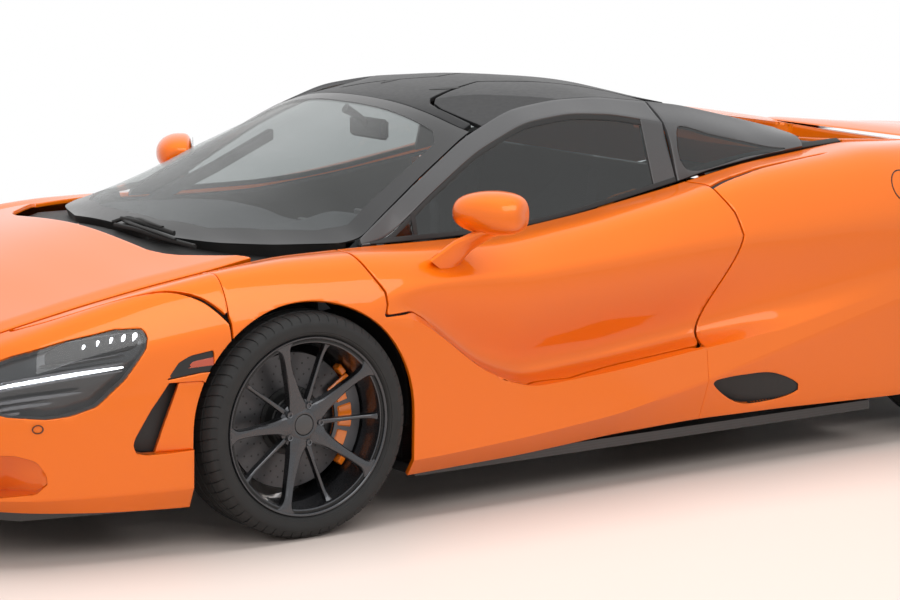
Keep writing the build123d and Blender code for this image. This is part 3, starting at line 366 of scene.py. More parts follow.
def edged(patch, depth=edgeDepth, roll=edgeRoll, welds=None):
    # a panel's rolled edge: the rim moves in by roll, turns over a small round and goes down the
    # normal by depth, and an inner skin closes the panel; welds leaves out the edges that meet
    # the next panel without a gap
    verts, faces = patch
    normals = vertexNormals(patch)
    edges = boundaryEdges(faces)
    if welds is not None:
        middle = (verts[edges[:, 0]] + verts[edges[:, 1]]) / 2
        edges = edges[~welds(middle)]
    along = verts[edges[:, 1]] - verts[edges[:, 0]]
    normal = normals[edges[:, 0]] + normals[edges[:, 1]]
    outward = np.cross(along, normal)
    outward /= np.linalg.norm(outward, axis=1, keepdims=True) + 1e-12
    total = np.zeros_like(verts)
    np.add.at(total, edges[:, 0], outward)
    np.add.at(total, edges[:, 1], outward)
    ring = np.unique(edges)
    total[ring] /= np.linalg.norm(total[ring], axis=1, keepdims=True) + 1e-12
    place = np.full(len(verts), -1)
    place[ring] = np.arange(len(ring))
    start = len(verts)
    rim = verts[ring].copy()
    verts = verts.copy()
    verts[ring] = rim - roll * total[ring]
    levels = [rim - 0.3 * roll * total[ring] - 0.3 * roll * normals[ring],
              rim - roll * normals[ring], rim - depth * normals[ring]]
    a, b = place[edges[:, 0]], place[edges[:, 1]]
    newFaces = [faces]
    lowA, lowB = edges[:, 0], edges[:, 1]
    for level in range(len(levels)):
        highA, highB = start + a + level * len(ring), start + b + level * len(ring)
        newFaces.append(np.stack([lowB, lowA, highA], 1))
        newFaces.append(np.stack([lowB, highA, highB], 1))
        lowA, lowB = highA, highB
    if welds is None:     # the inner skin is joined to the last level of the edge
        total = start + len(levels) * len(ring)
        inner = np.arange(len(place)) + total
        inner[ring] = start + (len(levels) - 1) * len(ring) + np.arange(len(ring))
        newFaces.append(inner[faces][:, ::-1])
        levels.append(patch[0] - depth * normals)
    return dropLoose(np.concatenate([verts] + levels), np.concatenate(newFaces))


def dropLoose(verts, faces):
    # only the vertices that a face uses
    used, compact = np.unique(faces, return_inverse=True)
    return verts[used], compact.reshape(-1, 3)


def welded(patch):
    # vertices less than 0.01 mm apart become one, and faces that fold up are dropped
    verts, faces = patch
    _, first, inverse = np.unique(np.round(verts, 2), axis=0, return_index=True,
                                  return_inverse=True)
    faces = inverse.ravel()[faces]
    distinct = ((faces[:, 0] != faces[:, 1]) & (faces[:, 1] != faces[:, 2])
                & (faces[:, 2] != faces[:, 0]))
    return verts[first], faces[distinct]


def slab(patch, thickness):
    # the patch, its copy at -thickness * n turned round, and a strip that closes the edge
    verts, faces = patch
    inner = verts - thickness * vertexNormals(patch)
    edges = boundaryEdges(faces)
    n = len(verts)
    a, b = edges[:, 0], edges[:, 1]
    sides = np.concatenate([np.stack([b, a, a + n], 1), np.stack([b, a + n, b + n], 1)])
    return np.concatenate([verts, inner]), np.concatenate([faces, faces[:, ::-1] + n, sides])


def makePiece(name, patch, material, body="body", nodes=(), sharpAngle=32, smooth=True):
    # millimetres from the front axle become metres in the frame
    verts, faces = patch
    places = np.asarray(verts, float) / 1000
    places[:, 0] += frontAxleX
    mesh = bpy.data.meshes.new(name)
    mesh.from_pydata(places.tolist(), [], np.asarray(faces).tolist())
    mesh.validate()
    mesh.materials.append(material)
    if smooth:
        mesh.polygons.foreach_set("use_smooth", [True] * len(mesh.polygons))
        mesh.set_sharp_from_angle(angle=math.radians(sharpAngle))
    piece = bpy.data.objects.new(name, mesh)
    bpy.context.scene.collection.objects.link(piece)
    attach(piece, body)
    if nodes:
        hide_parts(*nodes)
    return piece


def linearFromHex(code):
    # sRGB to linear: c / 12.92 below 0.04045, else ((c + 0.055) / 1.055) ^ 2.4
    channels = [int(code[k:k + 2], 16) / 255 for k in (0, 2, 4)]
    return tuple(c / 12.92 if c <= 0.04045 else ((c + 0.055) / 1.055) ** 2.4
                 for c in channels) + (1,)


def fillSockets(tree, node, sockets):
    # a socket goes by its name or its number; an output is linked and anything else is its value
    for key, value in sockets.items():
        if hasattr(value, "is_output"):
            tree.links.new(value, node.inputs[key])
        else:
            node.inputs[key].default_value = value


def addNode(tree, kind, sockets=None, **settings):
    node = tree.nodes.new(kind)
    for key, value in settings.items():
        setattr(node, key, value)
    fillSockets(tree, node, sockets or {})
    return node


def newMaterial(name, slot):
    material = bpy.data.materials.new(name)
    material.use_nodes = True
    material["slot"] = slot
    tree = material.node_tree
    coords = addNode(tree, "ShaderNodeTexCoord").outputs["Object"]
    return material, tree, tree.nodes["Principled BSDF"], coords


def paintMaterial(name, slot, dark, light, flake):
    # painted shade: light where the surface faces the eye and dark where it turns away, with a
    # trace of flake
    material, tree, shader, coords = newMaterial(name, slot)
    facing = addNode(tree, "ShaderNodeLayerWeight", {"Blend": 0.35}).outputs["Facing"]
    flakes = addNode(tree, "ShaderNodeTexNoise",
                     {"Vector": coords, "Scale": 1000 / flake, "Detail": 0.0}).outputs[0]
    facingShadeColour = addNode(tree, "ShaderNodeMix", {0: facing, 6: linearFromHex(light),
                                           7: linearFromHex(dark)}, data_type="RGBA").outputs[2]
    fleck = addNode(tree, "ShaderNodeMix", {0: flakes, 6: facingShadeColour, 7: linearFromHex(light)},
                    data_type="RGBA").outputs[2]
    mild = addNode(tree, "ShaderNodeMix", {0: 0.12, 6: facingShadeColour, 7: fleck}, data_type="RGBA")
    fillSockets(tree, shader, {"Base Color": mild.outputs[2], "Metallic": 0.35, "Roughness": 0.38,
                               "Specular IOR Level": 0.15, "Coat Weight": 0.8,
                               "Coat Roughness": 0.03})
    return material


def plainMaterial(name, slot, color, roughness, grain, metallic=0.0, coat=0.0, vary=0.25,
                  bump=0.0, specular=0.5):
    # a cloud of grain mm lightens the colour by up to vary and moves the roughness by 15%
    material, tree, shader, coords = newMaterial(name, slot)
    cloud = addNode(tree, "ShaderNodeTexNoise",
                    {"Vector": coords, "Scale": 1000 / grain, "Detail": 4.0}).outputs[0]
    dark = linearFromHex(color)
    light = tuple(min(c * (1 + vary), 1) for c in dark[:3]) + (1,)
    shade = addNode(tree, "ShaderNodeMix", {0: cloud, 6: dark, 7: light}, data_type="RGBA")
    rough = addNode(tree, "ShaderNodeMapRange", {"Value": cloud, "To Min": roughness * 0.85,
                                                 "To Max": min(roughness * 1.15, 1.0)})
    fillSockets(tree, shader, {"Base Color": shade.outputs[2], "Roughness": rough.outputs[0],
                               "Metallic": metallic, "Specular IOR Level": specular,
                               "Coat Weight": coat, "Coat Roughness": 0.04})
    if bump:
        fine = addNode(tree, "ShaderNodeTexNoise",
                       {"Vector": coords, "Scale": 12000 / grain, "Detail": 2.0}).outputs[0]
        relief = addNode(tree, "ShaderNodeBump",
                         {"Height": fine, "Strength": bump, "Distance": 0.001})
        fillSockets(tree, shader, {"Normal": relief.outputs[0]})
    return material


def weaveMaterial(name, slot, color, light, tow, roughness, coat):
    material, tree, shader, coords = newMaterial(name, slot)
    axis = addNode(tree, "ShaderNodeSeparateXYZ", {0: coords}).outputs
    total = addNode(tree, "ShaderNodeMath", {0: axis[0], 1: axis[1]}, operation="ADD")
    other = addNode(tree, "ShaderNodeMath", {0: axis[0], 1: axis[1]}, operation="SUBTRACT")
    turned = addNode(tree, "ShaderNodeCombineXYZ",
                     {0: total.outputs[0], 1: other.outputs[0], 2: axis[2]})
    check = addNode(tree, "ShaderNodeTexChecker",
                    {"Vector": turned.outputs[0], "Scale": 1000 / tow,
                     "Color1": linearFromHex(color), "Color2": linearFromHex(light)})
    fillSockets(tree, shader, {"Base Color": check.outputs[0], "Roughness": roughness,
                               "Coat Weight": coat, "Coat Roughness": 0.05})
    return material


def glassMaterial(name, slot, tint):
    # clear with a mirror over it, the same from both faces of the pane: 4% head on, rising
    # with the fourth power of Facing to almost half at a glancing angle; 0.3 m ripples bend it
    material, tree, shader, coords = newMaterial(name, slot)
    tree.nodes.remove(shader)
    ripple = addNode(tree, "ShaderNodeTexNoise",
                     {"Vector": coords, "Scale": 3.0, "Detail": 0.0}).outputs[0]
    bent = addNode(tree, "ShaderNodeBump", {"Height": ripple, "Strength": 0.02, "Distance": 0.001})
    clear = addNode(tree, "ShaderNodeBsdfTransparent", {"Color": linearFromHex(tint)})
    glossy = addNode(tree, "ShaderNodeBsdfGlossy", {"Roughness": 0.03, "Color": (1, 1, 1, 1),
                                                    "Normal": bent.outputs[0]})
    facing = addNode(tree, "ShaderNodeLayerWeight", {"Blend": 0.5}).outputs["Facing"]
    steep = addNode(tree, "ShaderNodeMath", {0: facing, 1: 4.0}, operation="POWER")
    share = addNode(tree, "ShaderNodeMapRange",
                    {"Value": steep.outputs[0], "To Min": 0.045, "To Max": 0.45})
    pane = addNode(tree, "ShaderNodeMixShader",
                   {0: share.outputs[0], 1: clear.outputs[0], 2: glossy.outputs[0]})
    fillSockets(tree, tree.nodes["Material Output"], {"Surface": pane.outputs[0]})
    return material


def lightMaterial(name, slot, color, strength):
    # a glowing face, up to a fifth lighter in clouds of 25 mm
    material, tree, shader, coords = newMaterial(name, slot)
    own = linearFromHex(color)
    pale = tuple(min(1.2 * c + 0.01, 1) for c in own[:3]) + (1,)
    cloud = addNode(tree, "ShaderNodeTexNoise",
                    {"Vector": coords, "Scale": 1000 / 25, "Detail": 2.0}).outputs[0]
    glow = addNode(tree, "ShaderNodeMix", {0: cloud, 6: own, 7: pale}, data_type="RGBA")
    fillSockets(tree, shader, {"Emission Color": glow.outputs[2], "Base Color": own,
                               "Emission Strength": strength})
    return material


# sprayed orange lacquer with fine metal flake under clear coat: deep and even with long soft
# highlights; real flake is 0.05 mm, drawn at 0.7 mm, the finest that shows
# its dark and light colours carry painted shade, mixed by how far the surface turns from the eye
paint = paintMaterial("orangePaint", "paint", "D86200", "EC7000", flake=0.714)
# injection-moulded ABS in a sprayed satin-gloss black: grey in the light, no hard mirror
gloss = plainMaterial("blackGloss", "black_gloss", "3C3C3D", 0.36, 16.7, coat=0.15, vary=0.1)
# roof skin in black lacquer: darker, with a broad soft sheen
roofGloss = plainMaterial("roofGloss", "black_gloss", "1A1A1B", 0.4, 16.7, vary=0.1, specular=0.2)
# ceramic ink fired on the glass's edge: black and smooth
frit = plainMaterial("printedGlass", "black_gloss", "1A1A1B", 0.3, 16.7, coat=0.3, vary=0.1)
# vacuum-plated plastic inside the lamps: a bright dull silver
lampSilver = plainMaterial("lampSilver", "lamp_lens", "6A6C70", 0.25, 16.7, metallic=0.8, coat=0.3)
# moulded black lamp bowl: dark with a wet shine
lampBowl = plainMaterial("lampBowl", "black_gloss", "1B1C1E", 0.25, 16.7, coat=0.6, vary=0.2)
# moulded polypropylene, spark-eroded grain of 1.4 mm: flat black that takes little light
satin = plainMaterial("blackPlastic", "black_plastic", "131313", 0.55, 16.7, vary=0.4, bump=0.15)
# carbon twill, 4 mm tows, moulded under a satin resin: dark, with a faint check
carbon = weaveMaterial("carbonWeave", "carbon", "0D0D0E", "1E1F21", 4.0, 0.4, 0.4)
# toughened float glass with a grey tint: clear head on, a mirror at the edges
tinted = glassMaterial("tintedGlass", "tinted_glass", "CDD0D0")
# laminated float glass, nearly clear
screenGlass = glassMaterial("screenGlass", "tinted_glass", "EDEFEF")
# hard-coated polycarbonate
lens = glassMaterial("lampLens", "lamp_lens", "F2F4F6")
# light guides, evenly lit: cool white in front and deep red behind
white = lightMaterial("lampWhite", "lamp_lens", "F4F8FF", 3.0)
redGlow = lightMaterial("lampRed", "tail_lens", "D80C06", 0.5)
# moulded amber acrylic: saturated and glossy
amber = plainMaterial("amberLens", "lamp_lens", "A83A12", 0.2, 16.7, coat=1.0)
# silvered mirror glass: a clean reflection
chrome = plainMaterial("mirrorSilver", "lamp_lens", "B8BCC0", 0.15, 16.7, metallic=1.0)
# cured rubber with mould release on it: dull, nearly black, a grain of 3 mm
rubber = plainMaterial("tyreRubber", "tyre", "161616", 0.72, 40.0, vary=0.35, bump=0.25)
# cast aluminium, powder-coated dark grey with flake: soft metallic highlights on the spokes
rimPaint = plainMaterial("rimPaint", "rim", "3C3D40", 0.28, 2.5, metallic=0.85, coat=0.6)
# carbon-ceramic disc, ground: mid grey, lightly clouded at 11 mm
discMetal = plainMaterial("discMetal", "disc", "4A4A4C", 0.38, 11.1, metallic=0.7)
# caliper enamel, baked: bright orange and hard
caliperPaint = plainMaterial("caliperPaint", "forged_metal", "F07A10", 0.3, 16.7, coat=0.8)
# forged aluminium, anodised dark: grey with a blurred shine
forged = plainMaterial("forgedMetal", "forged_metal", "5A5B5E", 0.45, 16.7, metallic=0.8)
# stainless steel, brushed, its lines drawn as a 3 mm cloud
steel = plainMaterial("brushedSteel", "steel", "9A9A9A", 0.3, 3.33, metallic=1.0)
# sand-cast aluminium: pale grey and rough, a grain of 1.4 mm
casting = plainMaterial("castMetal", "cast_metal", "85878A", 0.55, 16.7, metallic=0.8, bump=0.3)
# microfibre suede, 3 mm nap, fine fibres 0.3 mm: charcoal, without shine
suede = plainMaterial("suede", "seat_cloth", "2A2A2C", 0.95, 3.33, vary=0.5, bump=0.3)
# moulded cabin trim in a grained soft skin, 5 mm clouds and 0.4 mm grain: flat dark grey
trim = plainMaterial("cabinTrim", "cabin_trim", "2C2D2F", 0.8, 5.0, vary=0.4, bump=0.2)
# woven polyester webbing, 2 mm ribs: dull orange
beltCloth = plainMaterial("beltCloth", "seat_cloth", "E07A12", 0.8, 2.0, vary=0.3)
# enamelled sheet for the blank plate: off white
plateWhite = plainMaterial("plateBlank", "tail_lens", "D8D8D4", 0.5, 33.3, vary=0.05)
print("stage: materials made")

# outlines from the side, (x, z)
doorSide = (
    (-196, 850), (-201, 805), (-232, 745), (-267, 687), (-268, 650), (-259, 622), (-350, 624),
    (-400, 596), (-450, 552), (-520, 490), (-600, 432), (-680, 386), (-770, 362), (-930, 364),
    (-1100, 380), (-1425, 412), (-1440, 420), (-1500, 560), (-1581, 748), (-1568, 815),
    (-1535, 870), (-1500, 990))
lampSide = (
    (483, 645), (474, 622), (483, 590), (545, 512), (629, 441), (700, 420), (760, 415),
    (860, 425), (955, 458), (990, 492), (930, 545), (828, 586), (690, 622), (560, 647))
ventSide = (
    (320, 490), (425, 492), (480, 420), (532, 335), (525, 306), (500, 297), (430, 296),
    (300, 300))
cornerSide = ((765, 262), (790, 300), (840, 318), (905, 320), (985, 300), (1010, 250),
              (985, 215), (900, 200), (790, 210), (762, 236))
markerSide = ((330, 512), (430, 500), (395, 545), (360, 562), (290, 572), (290, 512))
inletSide = curved(((-1470, 290), (-1520, 302), (-1600, 304), (-1700, 300), (-1790, 270),
                   (-1835, 236), (-1790, 214), (-1700, 204), (-1610, 206), (-1540, 235)),
                   closed=True, step=14.0)
# outlines from above, (x, y)
slotAbove = ((-1470, 860), (-1470, 848), (-1600, 806), (-1770, 781), (-2030, 766), (-2110, 762),
             (-2030, 778), (-1770, 799), (-1600, 828))
doorRoofAbove = (
    (-836, 720), (-836, 573), (-828, 370), (-838, 310), (-870, 270), (-1130, 125), (-1400, 280),
    (-1470, 380), (-1500, 475), (-1500, 720))
roofClearAbove = (
    (-740, 720), (-740, 560), (-824, 540), (-815, 368), (-826, 305), (-858, 257), (-1134, 112),
    (-1410, 269), (-1482, 380), (-1508, 444), (-1660, 444), (-1660, 720))
lidRearAbove = ((-200, 0), (250, 0), (249, 250), (246, 450), (230, 520), (205, 570), (125, 655),
                (58, 715), (50, 780), (-200, 780))
cowlAbove = ((241, 0), (240, 250), (237, 446), (222, 514), (197, 562), (118, 648), (50, 706),
             (-60, 728), (-240, 752), (-240, 640), (-60, 560), (60, 430), (146, 200), (146, 0))
fenderAbove = ((790, 690), (700, 735), (620, 765), (500, 800), (395, 840), (300, 885),
               (229, 925), (229, 560), (790, 560))
panels = {"fenderRear": 236, "fenderLow": 560, "bumperRear": -3307, "quarterFront": -1446,
          "sillTop": 404, "noseFront": 1110, "tail": -3400, "frontArch": (0, 356, 327),
          "rearArch": (rearAxle, 392, 350), "beltOut": 12, "beltDown": 5,
          "beltRange": (-2300, -200)}

for x, line in bodyLines.items():    # the belt under the side glass sits a little out and down
    if panels["beltRange"][0] < x < panels["beltRange"][1]:
        edge = (line[-1][0] + panels["beltOut"], line[-1][1] - panels["beltDown"])
        bodyLines[x] = line[:-1] + (edge,)


def wallOf(patch, near, far, keep=None):
    # a strip that stands on the patch's edge, from v - near * n down to v - far * n
    verts, faces = patch
    normals = vertexNormals(patch)
    edges = boundaryEdges(faces)
    if keep is not None:
        edges = edges[keep((verts[edges[:, 0]] + verts[edges[:, 1]]) / 2)]
    n = len(verts)
    a, b = edges[:, 0], edges[:, 1]
    sides = np.concatenate([np.stack([a, b, b + n], 1), np.stack([a, b + n, a + n], 1)])
    joined = np.concatenate([verts - near * normals, verts - far * normals])
    used, compact = np.unique(sides, return_inverse=True)
    return joined[used], compact.reshape(-1, 3)


def archTest(axle, radius, height):
    # a half circle over the axle with straight sides below it, above zero inside
    def test(v):
        across = v[:, 0] - axle
        rise = v[:, 2] - height
        return radius - np.where(rise > 0, np.hypot(across, rise), np.abs(across))
    return test


def fenderTest(v):
    # inside the outline or behind its rear end, and above its low edge
    plan = outlineDistance(fenderAbove, v[:, 0], np.abs(v[:, 1]))
    return np.minimum(np.maximum(plan, panels["fenderRear"] - v[:, 0]),
                      v[:, 2] - panels["fenderLow"])


def beyond(axis, limit, sign=1):
    # sign * (coordinate - limit)
    return lambda v: sign * (v[:, axis] - limit)


frontArch = archTest(*panels["frontArch"])
rearArch = archTest(*panels["rearArch"])
insideDoor = fromSide(doorSide)
insideLamp = fromSide(lampSide)
insideVent = fromSide(ventSide)
insideCorner = fromSide(cornerSide)
insideMarker = fromSide(markerSide)
insideInlet = fromSide(inletSide)
slotTest = fromAbove(slotAbove)


def insideSlot(v):
    # inside the outline and above the shoulder
    return np.minimum(slotTest(v), v[:, 2] - 780)


# one skin for the left side, from which every painted panel on it is cut
wholeBody = gridPatch(tableGrid(bodyLines, range(7), panels["tail"], panels["noseFront"],
                                sharp=(1, 2), sigma=45))

bumperSide = trimmed(
    wholeBody, (beyond(0, 0), 1), (frontArch, -1), (fenderTest, -1),
    (insideLamp, -1), (insideVent, -1), (insideCorner, -1), (insideMarker, -1))
noseTop = gridPatch(tableGrid(noseLines, range(3), 926, panels["noseFront"], sharp=(1,), sigma=30,
                              across=True))


def doorClear(v):
    # the distance outside the door, with 4 mm more clearance along its lower edge, eased in over
    # 30 mm at both ends
    low = np.clip((v[:, 0] + 1425) / 30, 0, 1) * np.clip((-330 - v[:, 0]) / 30, 0, 1)
    return -insideDoor(v) + 4 * low * np.clip((640 - v[:, 2]) / 20, 0, 1)


flank = trimmed(
    wholeBody, (beyond(0, panels["quarterFront"]), 1), (frontArch, -1),
    (doorClear, 1, shutGap),
    (lambda v: np.maximum(-v[:, 0], fenderTest(v) - shutGap), 1))
door = trimmed(wholeBody, (insideDoor, 1))
quarter = trimmed(
    wholeBody, (beyond(0, -1400, -1), 1), (beyond(0, panels["bumperRear"] + 7), 1),
    (insideDoor, -1, shutGap), (rearArch, -1),
    (lambda v: np.maximum(panels["quarterFront"] - v[:, 0], v[:, 2] - panels["sillTop"]), 1),
    (insideInlet, -1), (insideSlot, -1))
rearCorner = trimmed(wholeBody, (beyond(0, panels["bumperRear"], -1), 1))


def noseWeld(p):
    # edges that lie in the plane of the nose's face
    return np.abs(p[:, 0] - panels["noseFront"]) < 1.5


makePiece("frontBumperSides", bothSides(edged(bumperSide, welds=noseWeld)), paint, "body",
          ["front_bumper"])
makePiece("noseTop", edged(noseTop, welds=noseWeld), paint)
makePiece("frontFlanks", bothSides(edged(flank)), paint, "body", ["front_fenders", "sills"])
makePiece("rearQuarters", bothSides(edged(quarter)), paint, "body", ["rear_quarters"])
makePiece("rearCorners", bothSides(edged(rearCorner)), paint)
for side, turn in sides.items():
    makePiece(f"doorSkin_{side}", edged(turn(door)), paint, f"door_{side}_assembly",
              [f"door_{side}"])

lidGrid = tableGrid(lidLines, range(3), 55, 915, sharp=(1,), sigma=40, across=True)
lid = trimmed(gridPatch(lidGrid), (fromAbove(lidRearAbove), -1))
makePiece("frontLidSkin", edged(lid), paint, "front_lid", ["front_lid"])
cowlDrop = 34       # the cowl lies this far under the lid's own surface
cowlGrid = tableGrid(lidLines, range(3), -240, 250, sharp=(1,), sigma=40, across=True)
cowlPatch = trimmed(gridPatch(cowlGrid - (0, 0, cowlDrop)), (fromAbove(cowlAbove), 1))
makePiece("cowlPanel", edged(cowlPatch), satin, "body", ["cowl"])

# the windscreen ends in a bowed line under the roof, and its printed border is opaque
screenTopAbove = ((400, -50), (-758, -50), (-760, 150), (-766, 330), (-779, 480), (-792, 600),
                  (-792, 800), (400, 800))
screenClearAbove = ((80, -50), (74, 180), (20, 400), (-90, 545), (-210, 640), (-300, 662),
                    (-400, 626), (-560, 580), (-690, 540), (-722, 480), (-714, 330), (-708, -50))
screenSize = {"thickness": 5, "footNear": 3, "footFar": 52, "footFrom": -260}
screenGrid = tableGrid(screenLines, range(3), -830, 140, sigma=18, across=True)
screen = trimmed(gridPatch(screenGrid), (fromAbove(screenTopAbove), 1))
clearPart = trimmed(screen, (fromAbove(screenClearAbove), 1))
borderPart = trimmed(screen, (fromAbove(screenClearAbove), -1))
makePiece("windscreenGlass", slab(clearPart, screenSize["thickness"]), screenGlass, "body",
          ["windscreen"])
makePiece("windscreenBorder", slab(borderPart, screenSize["thickness"]), frit)
screenFoot = wallOf(screen, screenSize["footNear"], screenSize["footFar"],
                    lambda p: p[:, 0] > screenSize["footFrom"])
makePiece("windscreenFoot", screenFoot, satin)

roofGrid = tableGrid(canopyLines, (2, 3, 4), -1640, -740, sigma=40, across=True)
roofPatch = gridPatch(roofGrid)
roof = trimmed(roofPatch, (fromAbove(roofClearAbove), -1),
               (fromAbove(screenTopAbove), -1, 4))
makePiece("roofSkin", edged(roof), roofGloss, "body", ["roof"])
doorRoof = trimmed(roofPatch, (beyond(1, 60), 1), (fromAbove(doorRoofAbove), 1))
# a plane through three places cuts the door roof's front corner, which leaves its crease
cornerPlane = np.linalg.solve(((-828, 590, 1), (-852, 300, 1), (-1135, 548, 1)),
                              (1098, 1154, 1161))


def abovePlane(v):
    # z - (a x + b y + c)
    return v[:, 2] - v[:, 0] * cornerPlane[0] - v[:, 1] * cornerPlane[1] - cornerPlane[2]


facet = trimmed(doorRoof, (abovePlane, 1))
facet[0][:, 2] -= abovePlane(facet[0])
doorRoof = welded(joinPatches(facet, trimmed(doorRoof, (abovePlane, -1))))
arcGrid = tableGrid(canopyLines, (1, 2), -1500, -300, sigma=35)
footGrid = tableGrid(canopyLines, (0, 1), -1500, -300, sigma=35)


def bandOf(grid, near, far, count=4, fromEnd=True):
    # a strip between near and far mm along each section, measured from its last or first place
    rows = grid[:, ::-1] if fromEnd else grid
    steps = np.linalg.norm(np.diff(rows, axis=1), axis=2)
    reach = np.concatenate([np.zeros((len(rows), 1)), np.cumsum(steps, axis=1)], axis=1)
    out = np.empty((len(rows), count, 3))
    for k, row in enumerate(rows):
        wanted = np.clip(np.linspace(near, far, count), 0, reach[k, -1])
        for axis in range(3):
            out[k, :, axis] = np.interp(wanted, reach[k], row[:, axis])
    return out[:, ::-1] if fromEnd else out


doorSeals = {"arc": 3.0, "seal": 20.0, "foot": 16.0, "frontGlass": -395, "rearGlass": -1410,
             "divider": -500, "dividerHalf": 8, "glassDepth": 4}
arc = gridPatch(arcGrid)
glassBack, glassFront = beyond(0, doorSeals["rearGlass"]), beyond(0, doorSeals["frontGlass"], -1)
sealTop = gridPatch(bandOf(footGrid, doorSeals["arc"], doorSeals["seal"]))
sealFoot = gridPatch(bandOf(footGrid, 0, doorSeals["foot"], fromEnd=False))
sealTop = trimmed(offset(sealTop, -2), (beyond(0, -1436), 1), (beyond(0, -350, -1), 1))
sealFoot = trimmed(offset(sealFoot, 1.5), (beyond(0, -1500), 1), (beyond(0, -330, -1), 1))
sideGlass = trimmed(offset(gridPatch(footGrid), -doorSeals["glassDepth"]), (glassBack, 1),
                    (glassFront, 1))
rearPost = trimmed(gridPatch(footGrid), (beyond(0, doorSeals["rearGlass"], -1), 1, 2))
frontPost = trimmed(gridPatch(footGrid), (beyond(0, doorSeals["frontGlass"]), 1, 2))
divider = trimmed(offset(gridPatch(footGrid), -1),
                  (beyond(0, doorSeals["divider"] - doorSeals["dividerHalf"]), 1),
                  (beyond(0, doorSeals["divider"] + doorSeals["dividerHalf"], -1), 1))
arcAndPosts = joinPatches(edged(arc), edged(rearPost), edged(frontPost))
sealPatches = joinPatches(edged(sealTop, depth=8, roll=1.5), edged(sealFoot, depth=8, roll=1.5),
                          edged(divider, depth=6, roll=1.5))
for side, turn in sides.items():
    assembly = f"door_{side}_assembly"
    makePiece(f"doorRoof_{side}", turn(edged(doorRoof)), roofGloss, assembly,
              [f"door_frame_{side}"])
    makePiece(f"doorArc_{side}", turn(arcAndPosts), gloss, assembly)
    makePiece(f"doorSeals_{side}", turn(sealPatches), satin, assembly)
    makePiece(f"doorGlass_{side}", turn(slab(sideGlass, doorSeals["glassDepth"])), tinted,
              assembly, [f"door_glass_{side}"])

# the canopy's sides carry on behind the doors as buttresses with a window in each
canopyRear = {}
for x, line in canopyLines.items():
    if x <= -1500:
        railY, railZ = line[2]
        canopyRear[x] = (line[0], line[1], line[2], (railY - 70, railZ - 6))
sideGrid = tableGrid(canopyRear, range(4), -2240, -1507, sharp=(2,), sigma=30)
windowSide = curved(((-1556, 932), (-1556, 1060), (-1700, 1030), (-1900, 984), (-1972, 972),
                     (-1800, 958)), closed=True)
canopySide = trimmed(gridPatch(sideGrid), (fromSide(windowSide), -1))
quarterWindow = trimmed(gridPatch(sideGrid[:, :12]), (fromSide(windowSide), 1, 1))
canopyTail = trimmed(canopySide, (beyond(0, -2078, -1), 1))
canopyEnd = {"x": -2072, "middle": 575, "half": 70, "bow": 14}
canopyTrim = {"tailDrop": 24, "sealDrop": 7, "sealWidth": 26, "glass": 4}


def canopyTest(v):
    # the buttress ends in a parabola: x = end + bow * ((y - middle) / half)^2
    bow = canopyEnd["bow"] * ((v[:, 1] - canopyEnd["middle"]) / canopyEnd["half"]) ** 2
    return v[:, 0] - canopyEnd["x"] - bow


canopySide = trimmed(canopySide, (canopyTest, 1))
makePiece("canopySides", bothSides(edged(canopySide)), gloss, "body", ["canopy_sides"])
makePiece("canopyTails", bothSides(edged(offset(canopyTail, -canopyTrim["tailDrop"]), depth=6,
                                       roll=1)), satin)
footSeal = gridPatch(bandOf(sideGrid, 0, canopyTrim["sealWidth"], fromEnd=False))
makePiece("canopySeals", bothSides(edged(offset(footSeal, -canopyTrim["sealDrop"]), depth=26,
                                       roll=1)), satin)
makePiece("quarterWindows", bothSides(slab(quarterWindow, canopyTrim["glass"])), tinted,
          "body", ["rear_windows"])
rearScreenLines = {}
for x in (-1640, -1880, -2060, -2240):
    line = canopyLines[x]
    rearScreenLines[x] = ((line[2][0] - 72, line[2][1] - 8), line[3], line[4])
rearScreen = gridPatch(tableGrid(rearScreenLines, range(3), -2240, -1645, sigma=25, across=True))
makePiece("rearScreen", slab(rearScreen, canopyTrim["glass"]), tinted)

deck = gridPatch(tableGrid(deckLines, range(3), -3300, -2250, sigma=30, across=True))
deckWell = {"outline": ((-2262, -60), (-2262, 520), (-2300, 548), (-2940, 520), (-2990, 480),
                        (-2990, -60)), "depth": 46, "slats": 11, "slatWidth": 26}
insideWell = fromAbove(deckWell["outline"])
makePiece("rearDeck", edged(trimmed(deck, (insideWell, -1))), paint, "body", ["rear_deck"])
wellPatch = trimmed(deck, (insideWell, 1))
makePiece("deckWellWalls", wallOf(wellPatch, 0, deckWell["depth"] + 4), paint)
makePiece("engineCover", edged(offset(wellPatch, -deckWell["depth"]), depth=5, roll=1), satin)
print("stage: body panels made")


def loftPatch(rings):
    # closed rings joined one to the next, with a fan about its own middle over each end
    rings = np.asarray(rings, float)
    count, size = rings.shape[:2]
    verts, faces = gridPatch(rings, closed=True)
    first, last = np.arange(size), (count - 1) * size + np.arange(size)
    middle = np.full(size, len(verts))
    caps = [np.stack([first, np.roll(first, -1), middle], 1),
            np.stack([np.roll(last, -1), last, middle + 1], 1)]
    verts = np.concatenate([verts, rings[[0, -1]].mean(1)])
    return verts, np.concatenate([faces] + caps)


def tubePatch(path, radius, segments=10):
    # circles across the path: p + r (cos a * side + sin a * above), where side is up x tangent
    path = np.asarray(path, float)
    tangents = np.gradient(path, axis=0)
    tangents /= np.linalg.norm(tangents, axis=1, keepdims=True)
    up = (0.0, 0.0, 1.0) if abs(tangents[0, 2]) < 0.8 else (1.0, 0.0, 0.0)
    side = np.cross(up, tangents)
    side /= np.linalg.norm(side, axis=1, keepdims=True)
    above = np.cross(tangents, side)
    radii = np.broadcast_to(radius, len(path))[:, None, None]
    angles = np.linspace(0, 2 * np.pi, segments, endpoint=False)[None, :, None]
    return loftPatch(path[:, None] + radii * (np.cos(angles) * side[:, None]
                                              + np.sin(angles) * above[:, None]))


